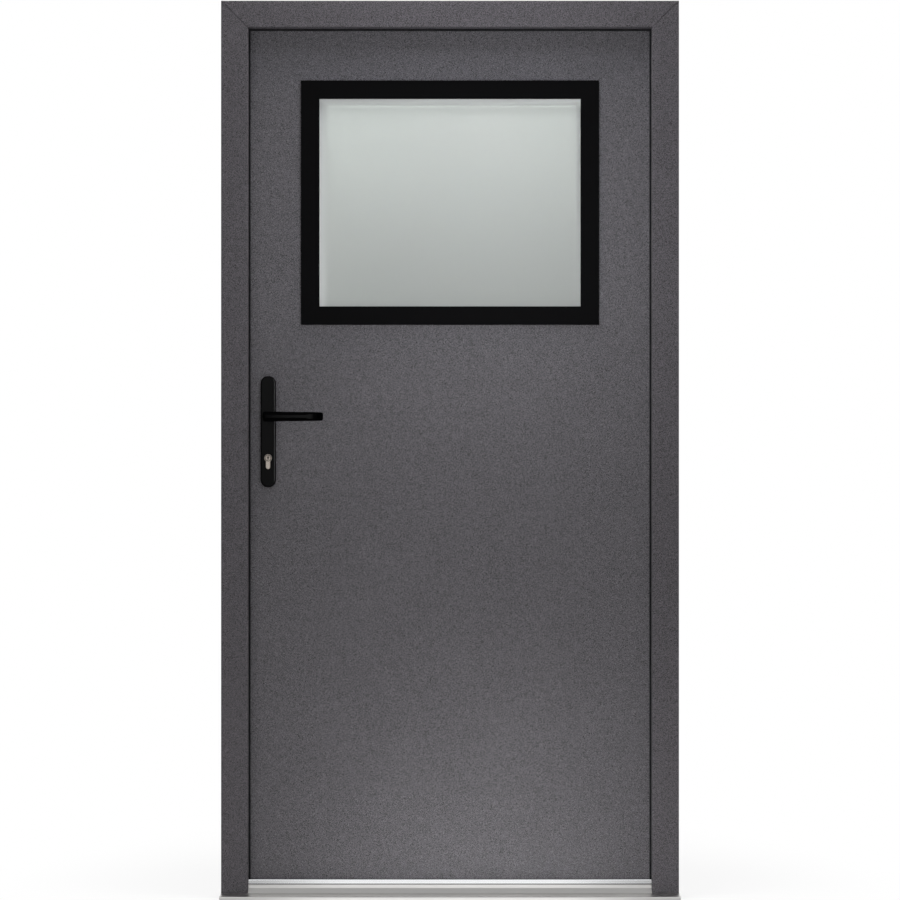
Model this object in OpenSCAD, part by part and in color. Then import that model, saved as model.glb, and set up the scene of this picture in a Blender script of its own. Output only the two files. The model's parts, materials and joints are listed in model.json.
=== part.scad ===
// Entrance door with a frosted window, hung in its own frame on a threshold.
// Millimetres. X runs along the width, to the right as seen from outside, Y runs
// into the building and Z runs up. The origin is the middle of the threshold's
// underside, in the plane of the frame's outer face.

/* [Frame] */
// Width over both jambs
frame_w = 1020; // [960:5:1200]
// Height from the floor to the top of the head
frame_h = 2000; // [1950:5:2200]
// Visible face of the jambs and the head
frame_face = 60; // [57:1:75]
// Wall of the hollow frame profile
frame_wall = 2; // [1.6:0.1:2.4]
// Depth of the stop in front of the leaf
stop_d = 16; // [15:0.5:20]
// How far the stop laps over the leaf
stop_lap = 11; // [9:0.5:12]
// Clearance between the leaf's edge and the rebate
rebate_gap = 4; // [3.5:0.5:5]
// Room between the stop and the leaf, filled by the seal
seal_room = 4; // [3:0.25:5]
// How far the seal's lip shows past the stop
seal_show = 4; // [2:0.25:6]
// Rounding of the frame's long front edges
frame_edge_r = 2; // [1:0.25:3]
// Hairline left open in each top mitre
mitre_gap = 0.3; // [0.1:0.05:0.5]
// Radius of the wall anchor holes
anchor_r = 5.25; // [4:0.25:6]
// Height of the lowest anchor hole, and its distance from the top for the highest
anchor_end = 220; // [180:10:260]

/* [Threshold] */
// How far the nose stands out in front of the frame
sill_nose = 35; // [25:1:45]
// Height of the nose and of the base under the jambs
sill_h = 12; // [11:0.5:14]
// Height of the shoulder that carries the rib
shoulder_h = 29.7; // [29:0.1:31]
// Height of the upright part of the shoulder's front
shoulder_face = 7.7; // [6:0.1:9]
// Dark joint between the shoulder and the rib
rib_joint = 2; // [1:0.25:3]
// Height of the bright rib
rib_h = 10; // [9:0.5:12]
// How far the rib laps over the leaf
rib_lap = 10.7; // [10:0.1:11]
// Height of the ledge that the leaf passes over
ledge_h = 24; // [22:0.5:25]

/* [Leaf] */
// Thickness of the leaf
leaf_t = 60; // [58:1:68]
// Sheet of the two skins
skin_t = 1; // [0.8:0.1:1.2]
// Depth of the skins' folded edges
skin_return = 18; // [14:0.5:18]
// Width of the timber stiles
stile_w = 40; // [36:1:44]
// Height of the timber rails
rail_h = 45; // [35:1:60]

/* [Window] */
// Width over the window trim
trim_w = 666; // [540:2:690]
// Height over the window trim
trim_h = 546; // [400:2:600]
// Face of the window trim
trim_face = 41; // [38:0.5:48]
// How far the trim stands proud of the leaf
trim_t = 5; // [4:0.5:7]
// From the leaf's top edge to the trim's top edge
window_drop = 126; // [100:2:180]
// Thickness of each pane
pane_t = 4; // [3:0.5:5]
// Space between the panes
pane_gap = 16; // [12:1:18]
// Thickness of the glazing tape
tape_t = 3; // [2:0.25:3.5]

/* [Handle] */
// Height of the lever's axis above the floor
lever_z = 1073; // [1000:1:1100]
// From the leaf's edge to the lever's axis
backset = 55; // [52:1:62]
// Width of the handle plates
plate_w = 34; // [30:1:40]
// Height of the handle plates
plate_h = 248; // [240:1:260]
// Thickness of the handle plates
plate_t = 9; // [8:0.5:11]
// Corner radius of the handle plates
plate_r = 15.5; // [8:0.5:16.5]
// Slope round the plates' front edge
plate_bevel = 3; // [1:0.25:4]
// From the lever's axis to its tip
lever_len = 126; // [110:1:140]
// Height of the lever at its root
lever_root_h = 22.2; // [18:0.2:25]
// Height of the lever at its tip
lever_tip_h = 19.2; // [15:0.1:22]
// Thickness of the lever's bar
lever_bar_t = 12; // [10:0.5:15]
// From the leaf's face to the middle of the lever's bar
lever_reach = 52; // [46:1:60]
// Side of the square spindle
spindle_w = 8; // [7:0.5:9]

/* [Lock] */
// From the lever's axis down to the key cylinder's axis
key_drop = 92; // [85:1:94]
// Length of the forend plate
forend_h = 240; // [225:1:250]
// Width of the forend plate
forend_w = 24; // [20:1:24]
// Thickness of the forend plate
forend_t = 3; // [2.5:0.25:4]
// Thickness of the lock case
case_t = 16; // [15:0.5:18]
// How far the latch stands out of the leaf's edge
latch_out = 12; // [10:0.5:13]
// Height of the latch's head
latch_h = 18; // [14:1:20]
// Height of the deadbolt's head
bolt_h = 36; // [28:1:38]

/* [Hinges] */
// Height of one hinge
hinge_h = 110; // [95:1:130]
// Radius of the hinge's knuckles
hinge_r = 9; // [8:0.5:11]
// Radius of the hinge pin
pin_r = 4; // [3:0.25:5]
// Thickness of the hinge plates
hinge_plate_t = 3; // [2.5:0.25:4]
// Width of the hinge plates
hinge_plate_w = 32; // [28:1:34]
// From the leaf's ends to the middle of the outer hinges
hinge_end = 200; // [160:5:300]

/* [Hidden] */
$fn = 64;

// Running fit of pins and plugs, and the clear space between moving pieces
fit = 0.05;
slip = 0.3;
// Overrun of a cut past the face it opens, and of a joint into its neighbour
over = 1;
weld = 1;

// Frame lines
half_w = frame_w / 2;
clear_x = half_w - frame_face;
leaf_x = clear_x + stop_lap;
rebate_x = leaf_x + rebate_gap;
rebate_u = half_w - rebate_x;
leaf_y0 = stop_d + seal_room;
leaf_y1 = leaf_y0 + leaf_t;
mid_y = (leaf_y0 + leaf_y1) / 2;
leaf_z1 = frame_h - frame_face + stop_lap;
mitre_reach = frame_face + seal_show + over;

// Seal groove in the stop's rear face, and the web behind the front chamber
groove_w = 3;
groove_d = 4;
groove_inset = 8;
groove_u = frame_face - groove_inset;
web_y = stop_d - groove_d - frame_wall;
room_y = web_y + frame_wall;

// Wall anchors: one near each end, and one at this distance above and below the lock
anchor_gap = 260;
anchor_y = (room_y + leaf_y1 - frame_wall) / 2;

// Corner cleats and jamb connectors
cleat_len = 90;
cleat_d = 30;
foot_h = 40;
foot_d = 50;
insert_fit = 0.2;
insert_w = rebate_u - 2 * frame_wall - 2 * insert_fit;
insert_x = half_w - frame_wall - insert_fit;
sill_screw_x = half_w - rebate_u / 2;
sill_screw_r = 2.4;
sill_screw_head_r = 4.5;
sill_screw_head_h = 3;
sill_screw_len = 28;
sill_access_r = 5.5;

// Threshold section
sill_wall = 2;
sill_under = 14;
sill_split = leaf_y0 + sill_under;
sill_nose_r = 3;
shoulder_t = 8;
shoulder_y = stop_d - shoulder_t;
riser_h = shoulder_h - shoulder_face;
riser_y = shoulder_y - (riser_h - sill_h);
rib_z0 = shoulder_h + rib_joint;
rib_z1 = rib_z0 + rib_h;
rib_edge_r = 2.5;
rib_stem_w = 2.6;
rib_stem_d = 4.8;
rib_y = (shoulder_y + stop_d) / 2;
ramp = 6;
sill_screw_front = 11;
sill_screw_rear = 16;
sill_screw_y = [sill_split - sill_screw_front, sill_split + sill_screw_rear];
leaf_z0 = rib_z1 - rib_lap;

// Leaf inside its skins
inner_x = leaf_x - skin_t;
inner_y0 = leaf_y0 + skin_t;
inner_y1 = leaf_y1 - skin_t;
inner_z0 = leaf_z0 + skin_t;
inner_z1 = leaf_z1 - skin_t;
core_x = inner_x - stile_w;
block_w = 70;
block_x = -core_x + block_w;
brush_w = 40;
brush_base = 2;
brush_fin = 4;
brush_inset = 6;
brush_shares = [0, 0.5, 1];

// Window section, as half sizes from the window's middle
win_z = leaf_z1 - window_drop - trim_h / 2;
trim_half = [trim_w / 2, trim_h / 2];
sight_half = [for (h = trim_half) h - trim_face];
trim_lap = 16;
hole_half = [for (h = trim_half) h - trim_lap];
collar_fit = 1;
collar_t = 6.5;
collar_d = 20;
collar_half = [for (h = hole_half) h - collar_fit];
collar_in = [for (h = collar_half) h - collar_t];
block_t = 1.5;
glass_half = [for (h = collar_in) h - block_t];
tape_w = 11;
sealant_w = 6;
spacer_w = 6;
glass_y0 = leaf_y0 + tape_t;
gap_y0 = glass_y0 + pane_t;
gap_y1 = gap_y0 + pane_gap;
glass_y1 = gap_y1 + pane_t;
lip_y = glass_y1 + tape_t;
lip_t = 3;
reveal_t = 4;
block_len = 80;
block_share = 0.5;
trim_screw_share = 0.62;
trim_screw_r = 1.8;
trim_screw_stop = 10;
trim_screw_tip = leaf_y0 + trim_screw_stop;

// Handle and lock positions
axis_x = -(leaf_x - backset);
key_z = lever_z - key_drop;
plate_drop = 33;
plate_z = lever_z - plate_drop;
neck_r = 9;
spindle_end = 30;
spindle_fit = 0.1;
handle_bolt_r = 2.4;
handle_bolt_end = 14;
bolt_hole_r = 3.2;
lever_hole_r = 11;
handle_bolt_z = [plate_z + plate_h / 2 - handle_bolt_end, plate_z - plate_h / 2 + handle_bolt_end];
block_lap = 8;
block_z0 = plate_z - plate_h / 2 - block_lap;
block_z1 = plate_z + plate_h / 2 + block_lap;

// Lock case
case_wall = 1.5;
case_x0 = -leaf_x + forend_t;
case_back = 30;
case_x1 = axis_x + case_back;
case_y0 = mid_y - case_t / 2;
case_y1 = mid_y + case_t / 2;
case_foot = 39;
case_head = 47;
case_z0 = key_z - case_foot;
case_z1 = lever_z + case_head;
lock_z = (case_z0 + case_z1) / 2;
mortise_fit = 0.5;
bolt_fit = 0.4;

// Follower, latch and deadbolt
hub_r = 12;
hub_boss_r = 9;
arm_half = 3;
arm_inset = 1;
arm_r = 17.5;
tail_z = lever_z + norm([arm_half, arm_r]) + slip;
tail_h = 8;
tab_z = lever_z + hub_r + slip;
tab_x = axis_x + arm_half + slip;
tab_w = 4.5;
latch_w = 11;
latch_drop = 2;
latch_z = tail_z + tail_h / 2 - latch_drop;
latch_root = 13;
latch_nib = 1.5;
bolt_w = 12;
bolt_drop = 47;
bolt_z = lever_z - bolt_drop;
bolt_len = 33;
bolt_tail_h = 14;
bolt_tail_past = 6;
bolt_tail_x = axis_x + bolt_tail_past;

// Key cylinder
key_r = 8.5;
key_stem_w = 10;
key_h = 33;
key_proud = 3;
key_y0 = leaf_y0 - plate_t - key_proud;
key_y1 = leaf_y1 + plate_t + key_proud;
plug_r = 6.5;
cam_w = 10;
cam_r = 8;
cam_reach = 15;
cam_lobe_w = 8;
cam_room = 0.6;
bridge_z = key_z - cam_reach - cam_room;
keyway_w = 2.6;
keyway_h = 8.5;
keyway_d = 26;
keyway_drop = 4;
keyway_z = key_z - keyway_drop;
key_screw_z = (bridge_z + key_z + key_r - key_h) / 2;
key_screw_short = 1;

// Countersunk screws
screw_r = 2.1;
screw_head_r = 4.2;
screw_head_h = 2.1;
hinge_screw_len = 18;
hinge_screw_share = 0.36;
hinge_screw_pitch = hinge_h * hinge_screw_share;
hinge_row_share = 0.6;
forend_screw_len = 30;
forend_screw_end = 10;
strike_screw_len = 9;

// Strike in the lock jamb
strike_w = 26;
strike_h = 220;
strike_fit = 0.1;
strike_box_t = 3;
strike_box_lap = 10;
strike_room = 1.2;
strike_screw_end = 12;
strike_x = -rebate_x;

// Hinge axis
hinge_x = leaf_x + rebate_gap / 2;
hinge_lift = 1;
hinge_y = leaf_y1 + hinge_r + hinge_lift;
hinge_clear = sqrt(pow(hinge_r + slip, 2) - pow(hinge_r + hinge_lift - hinge_plate_t, 2)) + slip;
hinge_cap = 6;
hinge_washer = 1;
hinge_play = 0.1;
gusset = 6;
gusset_share = 0.9;
hinge_z = [leaf_z0 + hinge_end, (leaf_z0 + leaf_z1) / 2, leaf_z1 - hinge_end];

// Lever sweep: a straight run, then a bend back towards the door
bend_r = 20;
bend_deg = 62;
bend_steps = 9;
lever_sides = 36;
lever_back = 8;
lever_run = lever_back + lever_len - (bend_r + lever_bar_t / 2) * sin(bend_deg);
lever_bend_len = bend_r * bend_deg * PI / 180;
lever_path_len = lever_run + lever_bend_len;

// Rounding of the lever's ends: distance in as a share of the bar, and fullness there
root_shares = [[0, 0.5], [0.05, 0.7], [0.15, 0.85], [0.3, 0.95], [0.54, 1]];
tip_shares = [[0.28, 1], [0.17, 0.97], [0.07, 0.91], [0.02, 0.82], [0, 0.72]];
run_shares = [0.25, 0.5, 0.75, 1];
root_in = lever_bar_t * root_shares[4][0];
tip_in = lever_bar_t * tip_shares[0][0];
height_share = 0.25;
front_share = 0.8;
edge_share = 0.45;
lever_stations = concat(
    [for (s = root_shares) [lever_bar_t * s[0], s[1]]],
    [for (t = run_shares) [root_in + t * (lever_run - root_in), 1]],
    [for (i = [1 : bend_steps - 1]) [lever_run + i / bend_steps * (lever_bend_len - tip_in), 1]],
    [for (s = tip_shares) [lever_path_len - lever_bar_t * s[0], s[1]]]
);

// Skin of the lever: rings of points joined by triangles, closed at both ends
lever_points = [for (st = lever_stations) each lever_ring(st)];
lever_rings = len(lever_stations);
lever_faces = concat(
    [[for (k = [0 : lever_sides - 1]) k]],
    [for (i = [0 : lever_rings - 2], k = [0 : lever_sides - 1])
        let (n = (k + 1) % lever_sides)
        [i * lever_sides + k, (i + 1) * lever_sides + k, (i + 1) * lever_sides + n]],
    [for (i = [0 : lever_rings - 2], k = [0 : lever_sides - 1])
        let (n = (k + 1) % lever_sides)
        [i * lever_sides + k, (i + 1) * lever_sides + n, i * lever_sides + n]],
    [[for (k = [lever_sides - 1 : -1 : 0]) (lever_rings - 1) * lever_sides + k]]
);

// Colours
coat = [0.33, 0.32, 0.35];
silver = [0.85, 0.86, 0.86];
steel = [0.62, 0.62, 0.63];
nickel = [0.66, 0.62, 0.55];
black = [0.07, 0.07, 0.08];
rubber_black = [0.04, 0.04, 0.04];
timber = [0.72, 0.56, 0.38];
foam = [0.93, 0.90, 0.78];
frost = [0.74, 0.78, 0.77];
clear_glass = [0.80, 0.88, 0.86];

// Shapes used by many pieces

// Block between two opposite corners
module block(a, b) {
    translate(a)
        cube(b - a);
}

// A section drawn in Y and Z, run along X
module along_x(x0, x1) {
    translate([x0, 0, 0])
        rotate([90, 0, 90])
            linear_extrude(x1 - x0)
                children();
}

// A section drawn in X and Z, run along Y
module along_y(y0, y1) {
    translate([0, y1, 0])
        rotate([90, 0, 0])
            linear_extrude(y1 - y0)
                children();
}

// Round bar along X
module rod_x(r, x0, x1, y, z) {
    translate([x0, y, z])
        rotate([0, 90, 0])
            cylinder(r = r, h = x1 - x0);
}

// Round bar along Y
module rod_y(r, y0, y1, x, z) {
    translate([x, y1, z])
        rotate([90, 0, 0])
            cylinder(r = r, h = y1 - y0);
}

// What rounding takes off a corner that points along way
module edge_cut(corner, way, r) {
    centre = corner - way * r;
    far = corner + way * over;
    difference() {
        translate([min(centre[0], far[0]), min(centre[1], far[1])])
            square(r + over);
        translate(centre)
            circle(r);
    }
}

// Rectangular ring round the window's middle
module window_ring(outer, inner, y0, y1) {
    difference() {
        block([-outer[0], y0, win_z - outer[1]], [outer[0], y1, win_z + outer[1]]);
        block([-inner[0], y0 - over, win_z - inner[1]], [inner[0], y1 + over, win_z + inner[1]]);
    }
}

// Mirror from the outside of the leaf to the inside
module inside_out() {
    translate([0, 2 * mid_y, 0])
        mirror([0, 1, 0])
            children();
}

// Mirror from the lock side to the hinge side
module other_side() {
    mirror([1, 0, 0])
        children();
}

// Countersunk screw with its head at the origin, pointing up; grow makes it its own hole
module csk_screw(len, grow = 0) {
    reach = grow > 0 ? over : 0;
    union() {
        cylinder(r1 = screw_head_r + grow, r2 = screw_r + grow, h = screw_head_h + grow);
        cylinder(r = screw_r + grow, h = len + grow);
        if (grow > 0)
            translate([0, 0, -reach])
                cylinder(r = screw_head_r + grow, h = reach);
    }
}

// Outline of a profile key cylinder, drawn round its plug's axis
module key_outline(grow = 0) {
    union() {
        circle(key_r + grow);
        translate([-key_stem_w / 2 - grow, key_r - key_h + key_stem_w / 2])
            square([key_stem_w + 2 * grow, key_h - key_r - key_stem_w / 2]);
        translate([0, key_r - key_h + key_stem_w / 2])
            circle(key_stem_w / 2 + grow);
    }
}

// Key cylinder's solid outline along Y
module key_bar(y0, y1, grow = 0) {
    along_y(y0, y1)
        translate([axis_x, key_z])
            key_outline(grow);
}

// Frame pieces

// Hollow section: across the face from the wall side, then into the building
module frame_profile() {
    difference() {
        polygon([
            [0, 0], [frame_face, 0], [frame_face, stop_d],
            [rebate_u, stop_d], [rebate_u, leaf_y1], [0, leaf_y1]
        ]);
        translate([frame_wall, frame_wall])
            square([frame_face - 2 * frame_wall, web_y - frame_wall]);
        translate([frame_wall, room_y])
            square([rebate_u - 2 * frame_wall, leaf_y1 - frame_wall - room_y]);
        translate([groove_u, stop_d - groove_d])
            square([groove_w, groove_d + over]);
        edge_cut([frame_face, 0], [1, -1], frame_edge_r);
        edge_cut([0, 0], [-1, -1], frame_edge_r);
    }
}

// Wedge above a jamb's mitre, on the lock side
module above_mitre(shift = 0) {
    x0 = -half_w - over;
    x1 = -half_w + mitre_reach;
    along_y(-over, leaf_y1 + over)
        polygon([
            [x0, frame_h + over - shift], [x1, frame_h + over - shift],
            [x1, frame_h - mitre_reach - shift]
        ]);
}

// Wedge below the head's mitre, on the lock side
module below_mitre(shift = 0) {
    x0 = -half_w - over;
    x1 = -half_w + mitre_reach;
    along_y(-over, leaf_y1 + over)
        polygon([
            [x0, frame_h + over + shift], [x0, frame_h - mitre_reach + shift],
            [x1, frame_h - mitre_reach + shift]
        ]);
}

module head_run() {
    translate([-half_w, 0, frame_h])
        rotate([0, 90, 0])
            linear_extrude(frame_w)
                children();
}

module jamb_run(z0) {
    translate([-half_w, 0, z0])
        linear_extrude(frame_h - z0)
            children();
}

module frame_head() {
    color(coat)
        difference() {
            head_run()
                frame_profile();
            below_mitre(mitre_gap / 2);
            other_side()
                below_mitre(mitre_gap / 2);
        }
}

// Jamb with its wall anchor holes, on the lock side
module jamb() {
    difference() {
        jamb_run(sill_h)
            frame_profile();
        above_mitre(mitre_gap / 2);
        for (z = [anchor_end, lock_z - anchor_gap, lock_z + anchor_gap, frame_h - anchor_end])
            rod_x(anchor_r, -half_w - over, strike_x + over, anchor_y, z);
    }
}

module frame_jamb_lock() {
    color(coat)
        difference() {
            jamb();
            block(
                [strike_x - frame_wall - over, mid_y - strike_w / 2, lock_z - strike_h / 2],
                [strike_x + over, mid_y + strike_w / 2, lock_z + strike_h / 2]
            );
        }
}

module frame_jamb_hinge() {
    color(coat)
        difference() {
            other_side()
                jamb();
            hinge_frame_screw_set(fit);
        }
}

module corner_cleat() {
    top = frame_h - frame_wall - insert_fit;
    y0 = anchor_y - cleat_d / 2;
    union() {
        block([-insert_x, y0, top - cleat_len], [-insert_x + insert_w, y0 + cleat_d, top]);
        block([-insert_x, y0, top - insert_w], [-insert_x + cleat_len, y0 + cleat_d, top]);
    }
}

module corner_cleats() {
    color(silver) {
        corner_cleat();
        other_side()
            corner_cleat();
    }
}

module jamb_connector() {
    difference() {
        block(
            [-insert_x, room_y + insert_fit, sill_h],
            [-insert_x + insert_w, room_y + foot_d, sill_h + foot_h]
        );
        sill_screw_pair(fit);
    }
}

module jamb_connectors() {
    color(steel) {
        jamb_connector();
        other_side()
            jamb_connector();
    }
}

// Screws from below that pull a jamb's connector down on the threshold
module sill_screw_pair(grow = 0) {
    for (y = sill_screw_y)
        translate([-sill_screw_x, y, sill_h - sill_wall])
            union() {
                cylinder(r = sill_screw_r + grow, h = sill_screw_len + grow);
                translate([0, 0, -sill_screw_head_h])
                    cylinder(r = sill_screw_head_r + grow, h = sill_screw_head_h);
            }
}

module sill_screws() {
    color(steel) {
        sill_screw_pair();
        other_side()
            sill_screw_pair();
    }
}

module sill_screw_cuts() {
    sill_screw_pair(fit);
    for (y = sill_screw_y)
        translate([-sill_screw_x, y, -over])
            cylinder(r = sill_access_r, h = sill_wall + 2 * over);
}

// Threshold pieces

module threshold_sill() {
    front_x = clear_x - slip;
    ledge_x = rebate_x - slip;
    step_y = stop_d + slip;
    color(silver)
        difference() {
            union() {
                along_x(-half_w, half_w)
                    difference() {
                        translate([-sill_nose, 0])
                            square([sill_nose + sill_split, sill_h]);
                        edge_cut([-sill_nose, sill_h], [-1, 1], sill_nose_r);
                    }
                along_x(-front_x, front_x)
                    polygon([
                        [riser_y, sill_h - sill_wall], [riser_y, sill_h], [shoulder_y, riser_h],
                        [shoulder_y, shoulder_h], [stop_d, shoulder_h], [stop_d, ledge_h],
                        [step_y + sill_wall, ledge_h], [step_y + sill_wall, sill_h - sill_wall]
                    ]);
                block([-ledge_x, step_y, sill_h - sill_wall], [ledge_x, sill_split, ledge_h]);
            }
            along_x(-half_w - over, half_w + over) {
                translate([-sill_nose + sill_nose_r, sill_wall])
                    square([sill_nose + riser_y - sill_nose_r - sill_wall, sill_h - 2 * sill_wall]);
                translate([riser_y, sill_wall])
                    square([sill_split - sill_wall - riser_y, sill_h - 2 * sill_wall]);
            }
            along_x(-half_w - over, half_w + over)
                translate([step_y + sill_wall, sill_h])
                    square([sill_split - step_y - 2 * sill_wall, ledge_h - sill_wall - sill_h]);
            along_x(-half_w - over, half_w + over)
                translate([rib_y - rib_stem_w / 2 - fit, shoulder_h - rib_stem_d])
                    square([rib_stem_w + 2 * fit, rib_stem_d + over]);
            sill_screw_cuts();
            other_side()
                sill_screw_cuts();
        }
}

module threshold_rib() {
    rib_x = clear_x - slip;
    color(silver)
        along_x(-rib_x, rib_x)
            difference() {
                union() {
                    translate([shoulder_y, rib_z0])
                        square([stop_d - shoulder_y, rib_h]);
                    translate([rib_y - rib_stem_w / 2, rib_z0 - rib_joint - rib_stem_d + fit])
                        square([rib_stem_w, rib_joint + rib_stem_d]);
                }
                edge_cut([shoulder_y, rib_z1], [-1, 1], rib_edge_r);
                edge_cut([stop_d, rib_z1], [1, 1], rib_edge_r);
            }
}

module threshold_base() {
    ledge_x = rebate_x - slip;
    web = (sill_split + leaf_y1) / 2;
    room = (leaf_y1 - sill_split) / 2 - 2 * sill_wall;
    color(black)
        difference() {
            union() {
                block([-half_w, sill_split, 0], [half_w, leaf_y1, sill_h]);
                along_x(-ledge_x, ledge_x)
                    polygon([
                        [sill_split, sill_h - sill_wall], [sill_split, ledge_h],
                        [leaf_y1 - ramp, ledge_h], [leaf_y1, ledge_h - ramp],
                        [leaf_y1, sill_h - sill_wall]
                    ]);
            }
            along_x(-half_w - over, half_w + over) {
                translate([sill_split + sill_wall, sill_wall])
                    square([room + sill_wall / 2, sill_h - 2 * sill_wall]);
                translate([web + sill_wall / 2, sill_wall])
                    square([room + sill_wall / 2, sill_h - 2 * sill_wall]);
            }
            along_x(-half_w - over, half_w + over)
                translate([sill_split + sill_wall, sill_h])
                    square([room + sill_wall / 2, ledge_h - sill_wall - sill_h]);
            sill_screw_cuts();
            other_side()
                sill_screw_cuts();
        }
}

module threshold_seal() {
    seal_x = clear_x - seal_show - slip;
    color(rubber_black)
        block(
            [-seal_x, stop_d, rib_z0 + sill_wall],
            [seal_x, leaf_y0 - slip, rib_z1 - rib_edge_r - sill_wall / 2]
        );
}

// Lip seal: a stem in the stop's groove and a soft lip that shows past the stop
module seal_profile() {
    lip_u = frame_face + seal_show;
    lip_y1 = leaf_y0 - slip;
    union() {
        polygon([
            [groove_u - groove_w, stop_d], [frame_face, stop_d], [lip_u, stop_d + slip],
            [lip_u, lip_y1], [groove_u - groove_w, lip_y1]
        ]);
        translate([groove_u + slip, stop_d - groove_d + slip])
            square([groove_w - 2 * slip, groove_d]);
    }
}

module frame_seal() {
    color(rubber_black)
        union() {
            difference() {
                head_run()
                    seal_profile();
                below_mitre();
                other_side()
                    below_mitre();
            }
            seal_side();
            other_side()
                seal_side();
        }
}

module seal_side() {
    difference() {
        jamb_run(ledge_h + slip)
            seal_profile();
        above_mitre();
    }
}

// Strike pieces in the lock jamb

module strike_openings(x0, x1) {
    block(
        [x0, mid_y - latch_w / 2 - strike_room, latch_z - latch_h / 2 - strike_room],
        [x1, mid_y + latch_w / 2 + strike_room, latch_z + latch_h / 2 + strike_room]
    );
    block(
        [x0, mid_y - bolt_w / 2 - strike_room, bolt_z - bolt_h / 2 - strike_room],
        [x1, mid_y + bolt_w / 2 + strike_room, bolt_z + bolt_h / 2 + strike_room]
    );
}

module strike_screw_set(grow = 0) {
    for (s = [-1, 1])
        translate([strike_x, mid_y, lock_z + s * (strike_h / 2 - strike_screw_end)])
            rotate([0, -90, 0])
                csk_screw(strike_screw_len, grow);
}

module strike_plate() {
    half_d = strike_w / 2 - strike_fit;
    half_h = strike_h / 2 - strike_fit;
    color(steel)
        difference() {
            block(
                [strike_x - frame_wall, mid_y - half_d, lock_z - half_h],
                [strike_x, mid_y + half_d, lock_z + half_h]
            );
            strike_openings(strike_x - frame_wall - over, strike_x + over);
            strike_screw_set(fit);
        }
}

module strike_box() {
    x1 = strike_x - frame_wall;
    half_d = strike_w / 2 + strike_box_lap;
    half_h = strike_h / 2 + strike_box_lap;
    color(steel)
        difference() {
            block(
                [x1 - strike_box_t, mid_y - half_d, lock_z - half_h],
                [x1, mid_y + half_d, lock_z + half_h]
            );
            strike_openings(x1 - strike_box_t - over, x1 + over);
            strike_screw_set(fit);
        }
}

module strike_screws() {
    color(steel)
        strike_screw_set();
}

// Hinges

// Web that carries a knuckle on its plate, drawn on the frame's side
module hinge_gusset() {
    x0 = hinge_x + hinge_clear;
    polygon([
        [hinge_x, hinge_y - hinge_r * gusset_share], [x0 + gusset, leaf_y1],
        [x0 + gusset, leaf_y1 + hinge_plate_t], [hinge_x + hinge_r * gusset_share, hinge_y]
    ]);
}

// Knuckle with its web between two heights
module knuckle(z0, z1) {
    translate([0, 0, z0])
        linear_extrude(z1 - z0)
            union() {
                translate([hinge_x, hinge_y])
                    circle(hinge_r);
                children();
            }
}

module pin_bore(z0, z1) {
    translate([hinge_x, hinge_y, z0])
        cylinder(r = pin_r + fit, h = z1 - z0);
}

module hinge_frame(zc) {
    x0 = hinge_x + hinge_clear;
    z0 = zc - hinge_h / 2;
    z1 = zc - hinge_washer / 2;
    color(coat)
        difference() {
            union() {
                block([x0, leaf_y1, z0], [x0 + hinge_plate_w, leaf_y1 + hinge_plate_t, zc + hinge_h / 2]);
                knuckle(z0, z1)
                    hinge_gusset();
            }
            pin_bore(z0 + hinge_cap, z1 + over);
            hinge_frame_screw_set(fit);
        }
}

module hinge_leaf(zc) {
    x1 = hinge_x - hinge_clear;
    z0 = zc + hinge_washer / 2 + hinge_play;
    z1 = zc + hinge_h / 2;
    color(coat)
        difference() {
            union() {
                block([x1 - hinge_plate_w, leaf_y1, zc - hinge_h / 2], [x1, leaf_y1 + hinge_plate_t, z1]);
                knuckle(z0, z1)
                    translate([2 * hinge_x, 0])
                        mirror([1, 0])
                            hinge_gusset();
            }
            pin_bore(z0 - over, z1 - hinge_cap);
            hinge_leaf_screw_set(fit);
        }
}

module hinge_pins() {
    color(steel)
        for (zc = hinge_z)
            translate([hinge_x, hinge_y, zc])
                union() {
                    translate([0, 0, -hinge_h / 2 + hinge_cap])
                        cylinder(r = pin_r, h = hinge_h - 2 * hinge_cap - slip);
                    translate([0, 0, -hinge_washer / 2])
                        cylinder(r = hinge_r - hinge_lift, h = hinge_washer);
                }
}

module hinge_screw_row(x, grow) {
    for (zc = hinge_z, s = [-1, 0, 1])
        translate([x, leaf_y1 + hinge_plate_t, zc + s * hinge_screw_pitch])
            rotate([90, 0, 0])
                csk_screw(hinge_screw_len, grow);
}

module hinge_frame_screw_set(grow = 0) {
    hinge_screw_row(hinge_x + hinge_clear + hinge_plate_w * hinge_row_share, grow);
}

module hinge_leaf_screw_set(grow = 0) {
    hinge_screw_row(hinge_x - hinge_clear - hinge_plate_w * hinge_row_share, grow);
}

module hinge_frame_screws() {
    color(steel)
        hinge_frame_screw_set();
}

module hinge_leaf_screws() {
    color(steel)
        hinge_leaf_screw_set();
}

// Leaf pieces

module window_hole() {
    block(
        [-hole_half[0], leaf_y0 - over, win_z - hole_half[1]],
        [hole_half[0], leaf_y1 + over, win_z + hole_half[1]]
    );
}

// Holes for lever, key cylinder and through bolts, right through the leaf
module hardware_holes() {
    rod_y(lever_hole_r, leaf_y0 - over, leaf_y1 + over, axis_x, lever_z);
    key_bar(leaf_y0 - over, leaf_y1 + over, slip);
    for (z = handle_bolt_z)
        rod_y(bolt_hole_r, leaf_y0 - over, leaf_y1 + over, axis_x, z);
}

// Folded sheet pan with its face outside
module skin_pan() {
    difference() {
        block([-leaf_x, leaf_y0, leaf_z0], [leaf_x, leaf_y0 + skin_return, leaf_z1]);
        block([-inner_x, inner_y0, inner_z0], [inner_x, leaf_y0 + skin_return + over, inner_z1]);
        window_hole();
        hardware_holes();
        forend_pocket();
    }
}

module leaf_skin_outer() {
    color(coat)
        skin_pan();
}

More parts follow.
